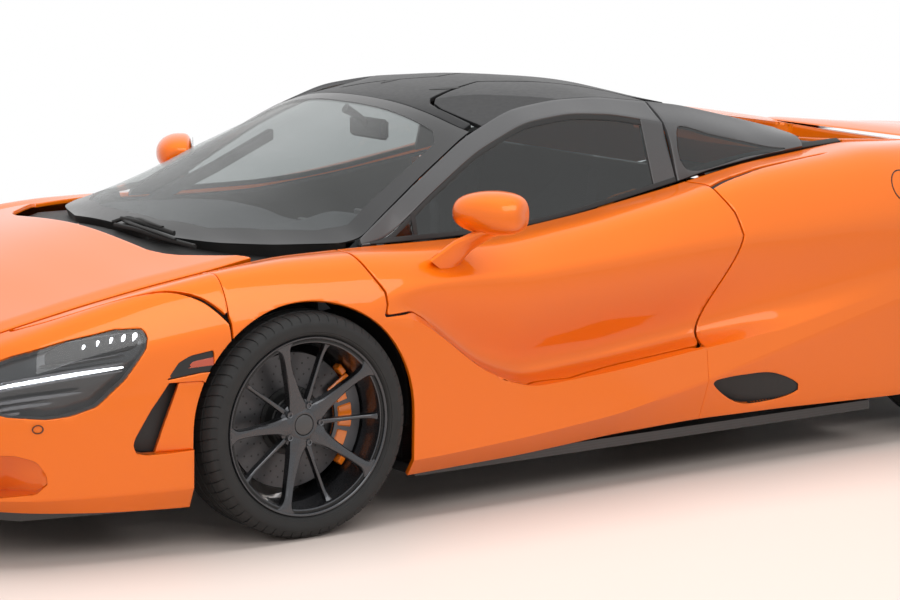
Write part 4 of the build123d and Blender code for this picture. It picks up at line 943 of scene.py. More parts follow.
def revolved(profile, hubX, hubZ, segments=180):
    # (radius, y) turned about the wheel's axis: x = hub + r cos a, z = hub + r sin a
    profile = np.asarray(profile, float)
    angles = np.linspace(0, 2 * np.pi, segments, endpoint=False)
    radius, side = profile[:, 0], profile[:, 1]
    rings = np.empty((len(profile), len(angles), 3))
    rings[..., 0] = hubX + radius[:, None] * np.cos(angles)
    rings[..., 1] = side[:, None]
    rings[..., 2] = hubZ + radius[:, None] * np.sin(angles)
    return gridPatch(rings, closed=True)


def blockPatch(low, high, bevel=3.0):
    # a box with all its edges cut off by bevel: eight-sided rings at four heights
    low, high = np.asarray(low, float), np.asarray(high, float)
    bevel = min(bevel, *((high - low) / 3))
    rings = []
    for z, inset in ((low[2], bevel), (low[2] + bevel, 0), (high[2] - bevel, 0), (high[2], bevel)):
        x0, x1 = low[0] + inset, high[0] - inset
        y0, y1 = low[1] + inset, high[1] - inset
        c = bevel
        rings.append([(x0 + c, y0, z), (x1 - c, y0, z), (x1, y0 + c, z), (x1, y1 - c, z),
                      (x1 - c, y1, z), (x0 + c, y1, z), (x0, y1 - c, z), (x0, y0 + c, z)])
    return loftPatch(rings)


axles = {
    "front": dict(x=0.0, radius=frontRadius, width=245, centreY=838, rim=259, face=952, disc=197,
                  arch=356, archZ=327),
    "rear": dict(x=rearAxle, radius=rearRadius, width=305, centreY=814, rim=271, face=960,
                 disc=190, arch=392, archZ=350),
}
wheelParts = {"hubInset": 33, "discInset": 115, "discThickness": 32, "treadBlocks": 64,
              "treadDepth": 3.5, "spokes": 10, "bolts": 5, "boltCircle": 56, "hatBolts": 10,
              "hatCircle": 91, "drillArms": 24, "drillRows": 5}


def around(axle, radius, angle):
    # the place at this radius and angle about the wheel's axis
    return axle["x"] + radius * math.cos(angle), axle["radius"] + radius * math.sin(angle)


def tyrePatch(axle):
    # the section turned about the axis; four grooves run round it, and slits treadDepth deep cut
    # the shoulders, skewed by 0.55 of a block for each 60 mm across
    low = axle["centreY"] - axle["width"] / 2
    high = axle["centreY"] + axle["width"] / 2
    lip, crown = axle["rim"], axle["radius"] - 0.5
    seat = lip - 16
    wall = crown - lip
    shoulder = [(seat, 16), (lip - 1, 17), (lip + 3, 12), (lip + 8, 6.5), (lip + 11, 6),
                (lip + 13, 3.5), (lip + 16, 3.2), (lip + 0.45 * wall, 0.5),
                (lip + 0.6 * wall, 2), (lip + 0.63 * wall, 3.2), (crown - 19, 8),
                (crown - 12, 12), (crown - 7, 18), (crown - 3, 30)]
    profile = [(r, high - inset) for r, inset in shoulder]
    grooves = np.linspace(high - 52, low + 52, 4)
    crossing = [(crown - 1.5, high - 40)]
    for y in grooves:
        crossing += [(crown, y + 5), (crown - 6, y + 4), (crown - 6, y - 4), (crown, y - 5)]
    crossing.append((crown - 1.5, low + 40))
    profile += crossing + [(r, low + inset) for r, inset in reversed(shoulder)]
    profile = np.array(profile)
    blocks = wheelParts["treadBlocks"]
    cell = 2 * np.pi / blocks
    offsets = np.array([0.0, 0.06, 0.10, 0.5, 0.96]) * cell
    steps = (np.arange(blocks)[:, None] * cell + offsets).ravel()
    slit = np.tile(np.array([1.0, 1.0, 0.0, 0.0, 0.0]), blocks)
    radius, side = profile[:, 0][:, None], profile[:, 1][:, None]
    edge = np.abs(side - axle["centreY"]) / (axle["width"] / 2)
    tread = (radius > crown - 19.5) & (edge > 0.52)
    depth = np.where(tread, wheelParts["treadDepth"], 0.0) * slit
    skew = 0.55 * cell * (side - axle["centreY"]) / 60
    angles = steps[None, :] + np.where(radius > crown - 20, skew, skew[0] * np.sign(skew))
    rings = np.empty(angles.shape + (3,))
    rings[..., 0] = axle["x"] + (radius - depth) * np.cos(angles)
    rings[..., 1] = side
    rings[..., 2] = axle["radius"] + (radius - depth) * np.sin(angles)
    return gridPatch(rings, closed=True)


def spokePatch(axle, angle, stations):
    # an eight-sided section, bevelled at the top, carried out along the radius; a station is
    # (radius, left half, right half, top, depth, place of the ridge)
    radial = np.array([math.cos(angle), 0, math.sin(angle)])
    tangent = np.array([-math.sin(angle), 0, math.cos(angle)])
    stations = curved(stations, step=9.0)
    reach, left, right, top, depth, ridge = stations.T
    across = np.stack([-left, -left, -left * 0.8, ridge - 2.5, ridge + 2.5, right * 0.8, right,
                       right], 1)[..., None]
    rise = np.stack([top - depth, top - 5, top - 1.5, top, top, top - 1.5, top - 5,
                     top - depth], 1)[..., None]
    return loftPatch(np.array([axle["x"], 0, axle["radius"]]) + reach[:, None, None] * radial
                     + across * tangent + rise * (0, 1, 0))


def rimPatch(axle):
    # the barrel and the hub are turned, and long and short spokes take turns between them
    lip, face, x, z = axle["rim"], axle["face"], axle["x"], axle["radius"]
    inner = axle["centreY"] - axle["width"] / 2 + 8
    barrel = [(lip - 4, inner), (lip - 19, inner + 4), (lip - 24, inner + 30),
              (lip - 36, face - 95), (lip - 30, face - 60), (lip - 25, face - 40),
              (lip - 22, face - 22), (lip - 19, face - 12), (lip - 10, face - 9),
              (lip - 8, face - 3), (lip - 5.5, face - 0.8), (lip - 2, face - 0.5),
              (lip, face - 3), (lip, face - 10), (lip - 14, face - 11), (lip - 15, inner + 8),
              (lip, inner + 6), (lip, inner)]
    pieces = [revolved([(r, y) for r, y in barrel][::-1], x, z)]
    hubFace = face - wheelParts["hubInset"]
    hub = [(4, hubFace - 46), (74, hubFace - 46), (76, hubFace - 30), (72, hubFace - 16),
           (60, hubFace - 9), (46, hubFace - 3), (36, hubFace), (31, hubFace - 1),
           (30, hubFace - 6)]
    pieces.append(revolved(hub[::-1], x, z, 90))
    for spoke in range(wheelParts["spokes"]):
        angle = spoke * 2 * math.pi / wheelParts["spokes"]
        if spoke % 2 == 0:
            stations = (
                (40, 30, 30, hubFace - 1, 30, 0), (62, 27, 27, hubFace + 1, 32, 0),
                (90, 19, 20, hubFace + 3, 32, 3), (130, 14, 15, hubFace + 8, 30, 5),
                (175, 12, 12, hubFace + 15, 28, 5), (lip - 48, 12, 12, hubFace + 24, 27, 3),
                (lip - 26, 16, 16, face - 5, 26, 0), (lip - 12, 30, 30, face - 3.5, 20, 0),
                (lip - 7, 40, 40, face - 3.5, 14, 0))
        else:
            stations = (
                (60, 9, 9, hubFace - 12, 20, 0), (90, 7, 7, hubFace - 10, 20, 0),
                (150, 6, 6, hubFace - 6, 20, 0), (lip - 60, 6, 6, hubFace - 2, 20, 0),
                (lip - 34, 7, 7, face - 28, 20, 0), (lip - 21, 12, 12, face - 20, 16, 0))
        pieces.append(spokePatch(axle, angle, stations))
    return joinPatches(*pieces)


def boltPatch(axle):
    # a turned bolt head between each pair of long spokes
    hubFace = axle["face"] - wheelParts["hubInset"]
    profile = [(10.5, hubFace - 14), (10, hubFace - 3), (8.5, hubFace), (5.5, hubFace - 1),
               (5, hubFace - 5), (0.5, hubFace - 5)]
    angles = [(2 * bolt + 1) * math.pi / wheelParts["bolts"] for bolt in range(wheelParts["bolts"])]
    return joinPatches(*[revolved(profile, *around(axle, wheelParts["boltCircle"], angle), 24)
                         for angle in angles])


def capPatch(axle):
    # a low turned cap over the hub
    hubFace = axle["face"] - wheelParts["hubInset"]
    profile = [(29, hubFace - 6), (28.5, hubFace - 1), (24, hubFace + 1), (0.5, hubFace + 1.5)]
    return revolved(profile, axle["x"], axle["radius"], 60)


def discPatch(axle):
    # two rubbing faces with a slot between them at the rim
    outer = axle["face"] - wheelParts["discInset"]
    inner = outer - wheelParts["discThickness"]
    r = axle["disc"]
    profile = [(76, inner), (r - 1, inner), (r, inner + 1), (r, inner + 12), (r - 4, inner + 13),
               (r - 4, outer - 13), (r, outer - 12), (r, outer - 1), (r - 1, outer),
               (100, outer), (98, outer - 2), (96, outer - 2)]
    return revolved(profile[::-1], axle["x"], axle["radius"], 120)


def hatPatch(axle):
    # the disc's turned hat and the ring of bolts that hold it
    hubBack = axle["face"] - wheelParts["hubInset"] - 45
    outer = axle["face"] - wheelParts["discInset"]
    profile = [(12, hubBack - 1), (76, hubBack - 1), (80, hubBack - 4), (82, outer + 6),
               (84, outer + 2), (97, outer + 1), (97, outer - 3)]
    knob = [(6.5, outer), (6, outer + 4), (5, outer + 5), (0.5, outer + 5)]
    count = wheelParts["hatBolts"]
    angles = [k * 2 * math.pi / count + 0.2 for k in range(count)]
    knobs = [revolved(knob, *around(axle, wheelParts["hatCircle"], angle), 12)
             for angle in angles]
    return joinPatches(revolved(profile, axle["x"], axle["radius"], 90), *knobs)


def drillShadePatch(axle):
    # painted shade: dark rounds where the drillings are, on arms that trail by 0.085 rad from one
    # row to the next
    outer = axle["face"] - wheelParts["discInset"] + 0.35
    pieces = []
    for arm in range(wheelParts["drillArms"]):
        for k in range(wheelParts["drillRows"]):
            reach = 112 + k * (axle["disc"] - 124) / 4 + (arm % 2) * 7
            angle = arm * 2 * math.pi / wheelParts["drillArms"] + k * 0.085
            pieces.append(revolved([(3.1, outer), (0.3, outer)], *around(axle, reach, angle), 8))
    return joinPatches(*pieces)


def polarBlock(axle, side, r0, r1, halfAngle, y0, y1, bevel=5.0, middle=0.0, steps=18):
    # a bevelled block bent round the wheel's axis, between two radii and two distances out
    t = np.linspace(-1, 1, steps + 1)
    angle = (math.pi if side < 0 else 0.0) + math.radians(middle) + t * math.radians(halfAngle)
    end = np.where(np.abs(t) == 1, bevel, 0.0)[:, None]
    outward = np.array([r0, r0 + bevel, r1 - bevel, r1, r1, r1 - bevel, r0 + bevel, r0])
    across = np.array([y0 + bevel, y0, y0, y0 + bevel, y1 - bevel, y1, y1, y1 - bevel])
    radius = outward + end * (1, 0, 0, -1, -1, 0, 0, 1)
    rings = np.empty(radius.shape + (3,))
    rings[..., 0] = axle["x"] + radius * np.cos(angle)[:, None]
    rings[..., 1] = across + end * (0, 1, 1, 0, 0, -1, -1, 0)
    rings[..., 2] = axle["radius"] + radius * np.sin(angle)[:, None]
    return loftPatch(rings)


def caliperPatch(axle, side):
    # two half bodies, the bridge over the disc's rim, the piston covers and the end lugs
    outer = axle["face"] - wheelParts["discInset"]
    inner = outer - wheelParts["discThickness"]
    r = axle["disc"]
    pieces = [
        polarBlock(axle, side, r - 62, r + 20, 34, outer + 7, outer + 25, 6),
        polarBlock(axle, side, r - 62, r + 20, 34, inner - 28, inner - 8, 6),
        polarBlock(axle, side, r + 8, r + 21, 34, inner - 28, outer + 25, 4),
        polarBlock(axle, side, r - 52, r - 6, 11, outer + 22, outer + 29, 3),
        polarBlock(axle, side, r - 50, r - 14, 7, outer + 20, outer + 29, 3, middle=22),
        polarBlock(axle, side, r - 50, r - 14, 7, outer + 20, outer + 29, 3, middle=-22),
        polarBlock(axle, side, r + 4, r + 22, 4, outer - 10, outer + 20, 3, middle=39),
        polarBlock(axle, side, r + 4, r + 22, 4, outer - 10, outer + 20, 3, middle=-39),
    ]
    return joinPatches(*pieces)


def caliperTrimPatch(axle, side):
    # two pad pins and two end bolts, as small bent blocks
    outer = axle["face"] - wheelParts["discInset"]
    r = axle["disc"]
    pins = [polarBlock(axle, side, r - 40, r - 8, 2.0, outer + 20, outer + 27, 2, middle)
            for middle in (-15, 15)]
    bolts = [polarBlock(axle, side, r - 30, r - 22, 1.5, outer + 18, outer + 32, 2, middle)
             for middle in (-30, 30)]
    return joinPatches(*pins, *bolts)


wheelPieces = {
    "Tyre": (tyrePatch, rubber), "Rim": (rimPatch, rimPaint), "Bolts": (boltPatch, forged),
    "Cap": (capPatch, gloss), "Disc": (discPatch, discMetal), "DiscHat": (hatPatch, satin),
    # the drillings are dark rounds of painted shade
    "DiscHoles": (drillShadePatch, satin),
}
standsFor = {"Tyre": "tyre", "Rim": "rim", "Disc": "disc"}
for axleName, axle in axles.items():
    for side, turn in sides.items():
        wheelBody = f"wheel_{axleName}_{side}"
        for pieceName, (build, material) in wheelPieces.items():
            nodes = []
            if pieceName in standsFor:
                nodes = [f"{axleName}_{standsFor[pieceName]}_{side}"]
            makePiece(f"{axleName}{pieceName}_{side}", turn(build(axle)), material, wheelBody,
                      nodes, sharpAngle=28)
        carrier = f"knuckle_{side}" if axleName == "front" else "body"
        caliperSide = -1 if axleName == "front" else 1
        makePiece(f"{axleName}Caliper_{side}", turn(caliperPatch(axle, caliperSide)), caliperPaint,
                  carrier)
        makePiece(f"{axleName}CaliperTrim_{side}", turn(caliperTrimPatch(axle, caliperSide)),
                  forged, carrier)
print("stage: wheels made")

# the opening behind the front arch's leading edge: its vane, its dark mouth and the marker lamp
ventPatch = trimmed(wholeBody, (insideVent, 1), (frontArch, -1))


ventSize = {"near": 6, "far": 26, "mouth": 46, "wall": 34, "wallArch": 358}


def ventDepth(v):
    # near + far * t^0.8, where t goes from 0 at the arch to 1 at the mouth, less higher up
    along = (v[:, 0] - 352) / 170 - 0.25 * (v[:, 2] - 300) / 190
    return ventSize["near"] + ventSize["far"] * np.clip(along, 0, 1) ** 0.8


def sunk(patch, depth):
    # v - depth(v) * n
    verts, faces = patch
    return verts - depth(verts)[:, None] * vertexNormals(patch), faces


mouthSide = ((392, 496), (432, 496), (490, 420), (540, 335), (530, 300), (500, 292), (462, 290),
             (440, 360), (415, 430))
insideMouth = fromSide(mouthSide)
vane = trimmed(sunk(ventPatch, ventDepth), (insideMouth, -1))
mouth = trimmed(offset(ventPatch, -ventSize["mouth"]), (insideMouth, 1, -14))
makePiece("ventVanes", bothSides(edged(vane, depth=20, roll=3)), paint, "body", ["grilles"])
makePiece("ventMouths", bothSides(mouth), satin)
ventWall = wallOf(ventPatch, 1, ventSize["wall"],
                  lambda p: np.hypot(p[:, 0], p[:, 2] - panels["frontArch"][2])
                  > ventSize["wallArch"])
makePiece("ventWalls", bothSides(ventWall), paint)
markerPatch = trimmed(wholeBody, (insideMarker, 1), (frontArch, -1))
makePiece("markerHousings", bothSides(edged(offset(markerPatch, -5), depth=25)), satin)
amberSide = ((285, 530), (372, 527), (352, 545), (285, 553))
amberPatch = trimmed(offset(markerPatch, -3.5), (fromSide(amberSide), 1))
makePiece("markerLenses", bothSides(edged(amberPatch, depth=5, roll=1)), amber)

# headlamps: a lens over a dark bowl, with a bar, a pod and a row of fins inside
lampSize = {"lens": 4, "wall": 62, "top": 34, "bottom": 22, "barHalf": 5, "podHalf": 31}
lampPatch = trimmed(wholeBody, (insideLamp, 1))
lensPatch = offset(trimmed(lampPatch, (insideLamp, 1, 2)), -lampSize["lens"])
makePiece("headlampLenses", bothSides(lensPatch), lens, "body", ["headlamps"])
makePiece("headlampWalls", bothSides(wallOf(lampPatch, lampSize["lens"] + 1, lampSize["wall"])),
          gloss)


def lampDepth(v):
    # top + bottom * t, where t goes from 0 at z 560 to 1 at z 420
    return lampSize["top"] + lampSize["bottom"] * np.clip((560 - v[:, 2]) / 140, 0, 1)


makePiece("headlampFloors", bothSides(sunk(lampPatch, lampDepth)), lampBowl)
nearSkin = wholeBody[0]


def ribbon(points, half, depth):
    # a flat strip along (x, z) places, depth under the body's skin, 5 mm thick, whose half
    # height is half * sin(pi t)^0.35 so that both ends are round
    path = curved(points, step=8.0)
    near = np.hypot(nearSkin[:, 0] - path[:, :1], nearSkin[:, 2] - path[:, 1:]).argmin(1)
    y = nearSkin[near, 1] - depth
    t = np.clip((np.arange(len(path)) + 0.6) / (len(path) + 0.2), 0, 1)
    h = half * np.sin(np.pi * t) ** 0.35
    rings = np.empty((len(path), 4, 3))
    rings[..., 0] = path[:, :1]
    rings[..., 1] = y[:, None] - (5, 0, 0, 5)
    rings[..., 2] = path[:, 1:] + h[:, None] * (-1, -0.8, 0.8, 1)
    return loftPatch(rings)


barLine = ((905, 487), (858, 503), (774, 518), (666, 532), (545, 543))
makePiece("headlampBars", bothSides(ribbon(barLine, lampSize["barHalf"], 14)), white)
makePiece("headlampBarTrims", bothSides(joinPatches(
    ribbon([(x + 2, z + 11) for x, z in barLine], 3.5, 12),
    ribbon([(x + 2, z - 10) for x, z in barLine], 4, 16))), lampSilver)
podLine = ((742, 572), (690, 588), (630, 597), (560, 605), (496, 607))
makePiece("headlampPods", bothSides(joinPatches(
    ribbon(podLine, lampSize["podHalf"], 20),
    ribbon(((760, 556), (690, 560), (620, 568), (540, 574)), 5, 14))), satin)
makePiece("headlampPodRims", bothSides(joinPatches(
    ribbon([(x, z + 27) for x, z in podLine[1:]], 1.6, 8),
    ribbon([(x, z - 26) for x, z in podLine[:4]], 1.6, 8))), lampSilver)
finPatches, socketPatches = [], []
for k, (x, z) in enumerate(((644, 602), (606, 610), (569, 616), (535, 620), (505, 621))):
    size = 6.5 + 1.3 * k
    fin = ((x + 0.55 * size, z - 0.35 * size), (x + 0.1 * size, z + 0.1 * size),
           (x - 0.55 * size, z + 0.45 * size))
    finPatches.append(ribbon(fin, 0.8 * size, 9))
    socketPatches.append(ribbon([(px - 0.7 * size, pz - 0.5 * size) for px, pz in fin],
                                1.0 * size, 13))
makePiece("headlampFins", bothSides(joinPatches(*finPatches)), white)
makePiece("headlampSockets", bothSides(joinPatches(*socketPatches)), gloss)
lowerLines = [[(x - 4, z - drop) for x, z in ((900, 478), (820, 492), (740, 500), (660, 506))]
              for drop in (26, 44, 60)]
makePiece("headlampRibs", bothSides(joinPatches(*[ribbon(line[:4 - k], 6, 26)
                                                  for k, line in enumerate(lowerLines)])),
          lampSilver)
print("stage: lamps made")


# the nose's face with its intake, and the corner intakes
noseSize = {"x": panels["noseFront"], "bars": 9, "rows": 3, "barWidth": 7, "barDepth": 10,
            "low": (-232, 215), "high": (232, 330)}
noseOutline = ((-60, 490), (150, 488), (240, 480), (290, 455), (312, 420), (315, 370), (310, 300),
               (300, 220), (270, 190), (-60, 190))
intakeOutline = curved(((-225, 219), (0, 215), (225, 219), (232, 272), (222, 326), (0, 330),
                        (-222, 326), (-232, 272)), closed=True, step=14.0)


def facePlane(x, halfWidth, low, high, step=10.0, facing=1):
    # a flat grid across the car that faces forwards, or backwards with facing at -1
    ys = np.linspace(-halfWidth, halfWidth, int(2 * halfWidth / step) + 1)
    zs = np.linspace(low, high, int((high - low) / step) + 1)
    grid = np.empty((len(zs), len(ys), 3))
    grid[..., 0] = x
    grid[..., 1] = -ys[None, :] * facing
    grid[..., 2] = zs[:, None]
    return gridPatch(grid[::-1])


def fromFront(outline):
    # an outline drawn across the whole car
    return lambda v: outlineDistance(outline, v[:, 1], v[:, 2])


noseFace = trimmed(facePlane(noseSize["x"], 330, 180, 500), (fromBehind(noseOutline), 1),
                   (fromFront(intakeOutline), -1))
makePiece("noseFace", edged(noseFace, depth=45, roll=5), paint)


def latticeOf(x, low, high, counts, width, depth):
    # bevelled bars, evenly spaced, first upright ones and then level ones
    pieces = []
    for axis, count in enumerate(counts):
        for place in np.linspace(low[axis], high[axis], count + 2)[1:-1]:
            a, b = [x - depth, 0, 0], [x, 0, 0]
            a[1 + axis], b[1 + axis] = place - width / 2, place + width / 2
            a[2 - axis], b[2 - axis] = low[1 - axis], high[1 - axis]
            pieces.append(blockPatch(a, b, 1.5))
    return joinPatches(*pieces)


noseGrille = latticeOf(noseSize["x"] - 40, noseSize["low"], noseSize["high"],
                       (noseSize["bars"], noseSize["rows"]), noseSize["barWidth"],
                       noseSize["barDepth"])
makePiece("noseGrille", noseGrille, satin)
makePiece("noseBacking", blockPatch((noseSize["x"] - 66, -238, 208),
                                    (noseSize["x"] - 58, 238, 337), 3), satin)
cornerPatch = trimmed(wholeBody, (insideCorner, 1))
makePiece("cornerIntakeWalls", bothSides(wallOf(cornerPatch, 1, 96)), paint)


def rampDepth(v):
    # 10 + 84 t^0.7, where t goes from 0 to 1 over 120 mm from the intake's rear end
    return 10 + 84 * np.clip((v[:, 0] - 768) / 120, 0, 1) ** 0.7


rampPatch = sunk(cornerPatch, rampDepth)
makePiece("cornerIntakeRamps", bothSides(trimmed(rampPatch, (beyond(0, 880, -1), 1))), paint)
makePiece("cornerIntakeBacks", bothSides(edged(trimmed(rampPatch, (beyond(0, 880), 1)),
                                               depth=5, roll=1)), satin)
sensorRing = {"x": 786, "z": 391, "radius": 11, "halfWidth": 1.2, "squeeze": 0.8}


def ringTest(ring):
    # halfWidth - |r - radius|, where r is the distance from the ring's middle seen from the side
    def test(v):
        reach = np.hypot((v[:, 0] - ring["x"]) * ring["squeeze"], v[:, 2] - ring["z"])
        return ring["halfWidth"] - np.abs(reach - ring["radius"])
    return test


nearSensor = gridPatch(tableGrid(bodyLines, range(7), 760, 812, sharp=(1, 2), sigma=0, step=1.0))
nearSensor = trimmed(nearSensor, (ringTest(sensorRing), 1))
makePiece("parkingSensors", bothSides(edged(offset(nearSensor, 1.0), depth=2, roll=0.3)), satin)
print("stage: nose made")

# the side inlet's ramp, the shoulder slot and the fuel flap's ring
inletPatch = trimmed(wholeBody, (insideInlet, 1), (beyond(0, -1440, -1), 1))


def inletDepth(v):
    # 4 + 26 t^1.3, where t goes from 0 to 1 over 240 mm from the inlet's rear end
    return 4 + 26 * np.clip((v[:, 0] + 1800) / 240, 0, 1) ** 1.3


makePiece("sideInletRamps", bothSides(sunk(inletPatch, inletDepth)), satin)
makePiece("sideInletWalls", bothSides(wallOf(inletPatch, 1, 50)), satin)
slotPatch = trimmed(wholeBody, (lambda v: insideSlot(v) + 12, 1, 0), (beyond(0, -1478, -1), 1))
makePiece("shoulderSlots", bothSides(edged(offset(slotPatch, -7), depth=5, roll=1)), satin)
flapRing = {"x": -2262, "z": 856, "radius": 49, "halfWidth": 1.6, "squeeze": 1.0}
nearFlap = gridPatch(tableGrid(bodyLines, range(7), -2330, -2200, sharp=(1, 2), sigma=0, step=1.5))
nearFlap = trimmed(nearFlap, (ringTest(flapRing), 1), (beyond(2, 700), 1))
makePiece("fuelFlapGroove", edged(offset(nearFlap, 0.8), depth=2, roll=0.3), satin)

# linings inside the doors and under the lid
liningSize = {"doorInset": 42, "doorDepth": 20, "doorThickness": 8, "lidInset": 45, "lidDepth": 15,
              "lidThickness": 5, "lidFront": 860, "lidHalf": 640}
for side, turn in sides.items():
    lining = trimmed(turn(door), (insideDoor, 1, liningSize["doorInset"]), (beyond(2, 330), 1))
    lining = slab(offset(lining, -liningSize["doorDepth"]), liningSize["doorThickness"])
    makePiece(f"doorLining_{side}", lining, trim, f"door_{side}_assembly")
lidLining = trimmed(lid, (fromAbove(lidRearAbove), -1, liningSize["lidInset"]),
                    (beyond(0, liningSize["lidFront"], -1), 1),
                    (lambda v: liningSize["lidHalf"] - np.abs(v[:, 1]), 1))
makePiece("frontLidLining", slab(offset(lidLining, -liningSize["lidDepth"]),
                                 liningSize["lidThickness"]), satin, "front_lid")

# mirrors
mirrorShape = {"x": -606, "y": 966, "z": 893, "length": 112, "depth": 78, "height": 64,
               "sweep": 28}


def housingPatch(shape, rows=40, columns=56):
    # (forward, length, rise) = (s cos b, -cos a, s sin b) with s = sin(a)^0.62, flattened behind
    # and a little higher outwards, then turned by the sweep
    across = np.linspace(0, np.pi, rows)[:, None]
    around = np.linspace(0, 2 * np.pi, columns, endpoint=False)[None, :]
    length = -np.cos(across) * np.ones_like(around)
    swell = np.sin(across) ** 0.62
    forward = swell * np.cos(around)
    rise = swell * np.sin(around)
    forward = np.where(forward > 0, forward, -0.62 * np.abs(forward) ** 0.45)
    rise = rise * (1 + 0.10 * length)
    rise = np.sign(rise) * np.abs(rise) ** 0.88
    turn = math.radians(shape["sweep"])
    alongX, alongY = -math.sin(turn), math.cos(turn)
    f, l = shape["depth"] * forward, shape["length"] * length
    grid = np.empty(f.shape + (3,))
    grid[..., 0] = shape["x"] + f * alongY + l * alongX
    grid[..., 1] = shape["y"] - f * alongX + l * alongY
    grid[..., 2] = shape["z"] + shape["height"] * rise
    return gridPatch(grid[::-1], closed=True)


def mirrorGlassPatch(shape):
    # rounded rectangles, |cos|^0.7 by |sin|^0.7, which shrink to a point on the flat rear face
    turn = math.radians(shape["sweep"])
    angles = np.linspace(0, 2 * np.pi, 48, endpoint=False)
    rings = []
    for scale, back in ((0.80, 0.625), (0.82, 0.66), (0.74, 0.665), (0.02, 0.665)):
        l = shape["length"] * scale * np.sign(np.cos(angles)) * np.abs(np.cos(angles)) ** 0.7
        h = shape["height"] * scale * np.sign(np.sin(angles)) * np.abs(np.sin(angles)) ** 0.7
        f = -shape["depth"] * back
        rings.append(np.stack([shape["x"] + f * math.cos(turn) - l * math.sin(turn),
                               shape["y"] + f * math.sin(turn) + l * math.cos(turn),
                               shape["z"] + h], 1))
    return gridPatch(np.array(rings), closed=True)


def flatArm(path, widths, heights, segments=16):
    # a rounded rectangle, |cos|^0.75 by |sin|^0.75, of changing width and height along a path,
    # its width kept as near to the car's length as the path lets it
    path, widths, heights = (np.asarray(a, float) for a in (path, widths, heights))
    joined = curved(np.concatenate([path, widths[:, None], heights[:, None]], 1), step=9.0)
    place, width, height = joined[:, :3], joined[:, 3], joined[:, 4]
    along = np.gradient(place, axis=0)
    along /= np.linalg.norm(along, axis=1, keepdims=True)
    side = np.tile((1.0, 0.0, 0.0), (len(place), 1))
    side -= (side * along).sum(1, keepdims=True) * along
    side /= np.linalg.norm(side, axis=1, keepdims=True)
    above = np.cross(along, side)
    angles = np.linspace(0, 2 * np.pi, segments, endpoint=False)
    c = np.sign(np.cos(angles)) * np.abs(np.cos(angles)) ** 0.75
    d = np.sign(np.sin(angles)) * np.abs(np.sin(angles)) ** 0.75
    rings = (place[:, None] + 0.5 * width[:, None, None] * c[None, :, None] * side[:, None]
             + 0.5 * height[:, None, None] * d[None, :, None] * above[:, None])
    return loftPatch(rings)


mirrorArm = {"path": ((-672, 1052, 872), (-640, 1010, 846), (-590, 962, 830), (-545, 925, 800),
                      (-505, 905, 762), (-480, 893, 730)),
             "widths": (26, 60, 78, 74, 86, 112), "heights": (10, 18, 26, 30, 30, 26)}
housing = housingPatch(mirrorShape)
arm = flatArm(mirrorArm["path"], mirrorArm["widths"], mirrorArm["heights"])
for side, turn in sides.items():
    assembly = f"door_{side}_assembly"
    makePiece(f"mirrorHousing_{side}", turn(housing), paint, assembly, [f"door_mirror_{side}"])
    makePiece(f"mirrorArm_{side}", turn(arm), paint, assembly)
    makePiece(f"mirrorGlass_{side}", turn(mirrorGlassPatch(mirrorShape)), chrome, assembly)
print("stage: mirrors made")

# wipers parked along the foot of the windscreen
wiperSize = {"blade": (10, 10), "bladeHeight": (15, 15), "arm": (17, 11), "armHeight": (12, 8)}
bladeLines = (((134, 60, 830), (128, 150, 831), (122, 250, 826), (112, 362, 818)),
              ((156, 60, 812), (148, 190, 812), (134, 330, 802), (112, 492, 794)))
armLines = (((108, 110, 832), (120, 160, 838), (122, 240, 834), (118, 300, 830)),
            ((128, 70, 826), (142, 150, 824), (140, 260, 818), (128, 400, 806)),
            ((152, 40, 818), (122, 78, 834), (108, 112, 830)))
wiperParts = []
for lines, part in ((bladeLines, "blade"), (armLines, "arm")):
    for line in lines:
        wiperParts.append(flatArm(line, np.linspace(*wiperSize[part], len(line)),
                                  np.linspace(*wiperSize[part + "Height"], len(line)), 10))
makePiece("wipers", joinPatches(*wiperParts), satin)

# hinge covers and their slots on the roof
slotCorners = curved(((-928, 142), (-1006, 166), (-1008, 196), (-960, 182)), closed=True, step=6.0)
slotPatches = trimmed(gridPatch(tableGrid(canopyLines, (2, 3, 4), -1030, -900, sigma=40,
                                          across=True, step=5)), (fromAbove(slotCorners), 1))
makePiece("roofSlots", edged(offset(slotPatches, 1.2), depth=3, roll=0.5), satin)
print("stage: wipers and roof details made")

# the tail: face, mesh, lamps and number plate
tailX = panels["tail"]
tailOutline = ((-60, 845), (545, 802), (735, 795), (806, 690), (822, 580), (822, 450), (810, 345),
               (760, 285), (605, 285), (595, 395), (-60, 395))
meshOutline = ((-618, 480), (0, 470), (618, 480), (640, 498), (652, 600), (645, 700), (622, 732),
               (0, 740), (-622, 732), (-645, 700), (-652, 600), (-640, 498))
tailFace = trimmed(facePlane(tailX, 830, 280, 850, facing=-1), (fromBehind(tailOutline), 1),
                   (fromFront(meshOutline), -1))
makePiece("tailFace", edged(tailFace, depth=45, roll=4), paint, "body", ["rear_bumper"])
tailTopLines = {-3300: ((552, 838), (300, 845), (0, 848)),
                -3400: ((545, 803), (300, 832), (0, 845))}
tailTop = gridPatch(tableGrid(tailTopLines, range(3), tailX, -3306, sigma=5, across=True))
makePiece("tailTop", edged(tailTop), paint)
diffuserBack = trimmed(facePlane(-3372, 612, 262, 402, facing=-1), (beyond(2, 262), 1))
makePiece("diffuserBack", edged(diffuserBack, depth=6, roll=1), satin)
meshSize = {"x": -3362, "halfWidth": 650, "low": 472, "high": 738, "pitch": 17.0, "bar": 2.6,
            "depth": 6}


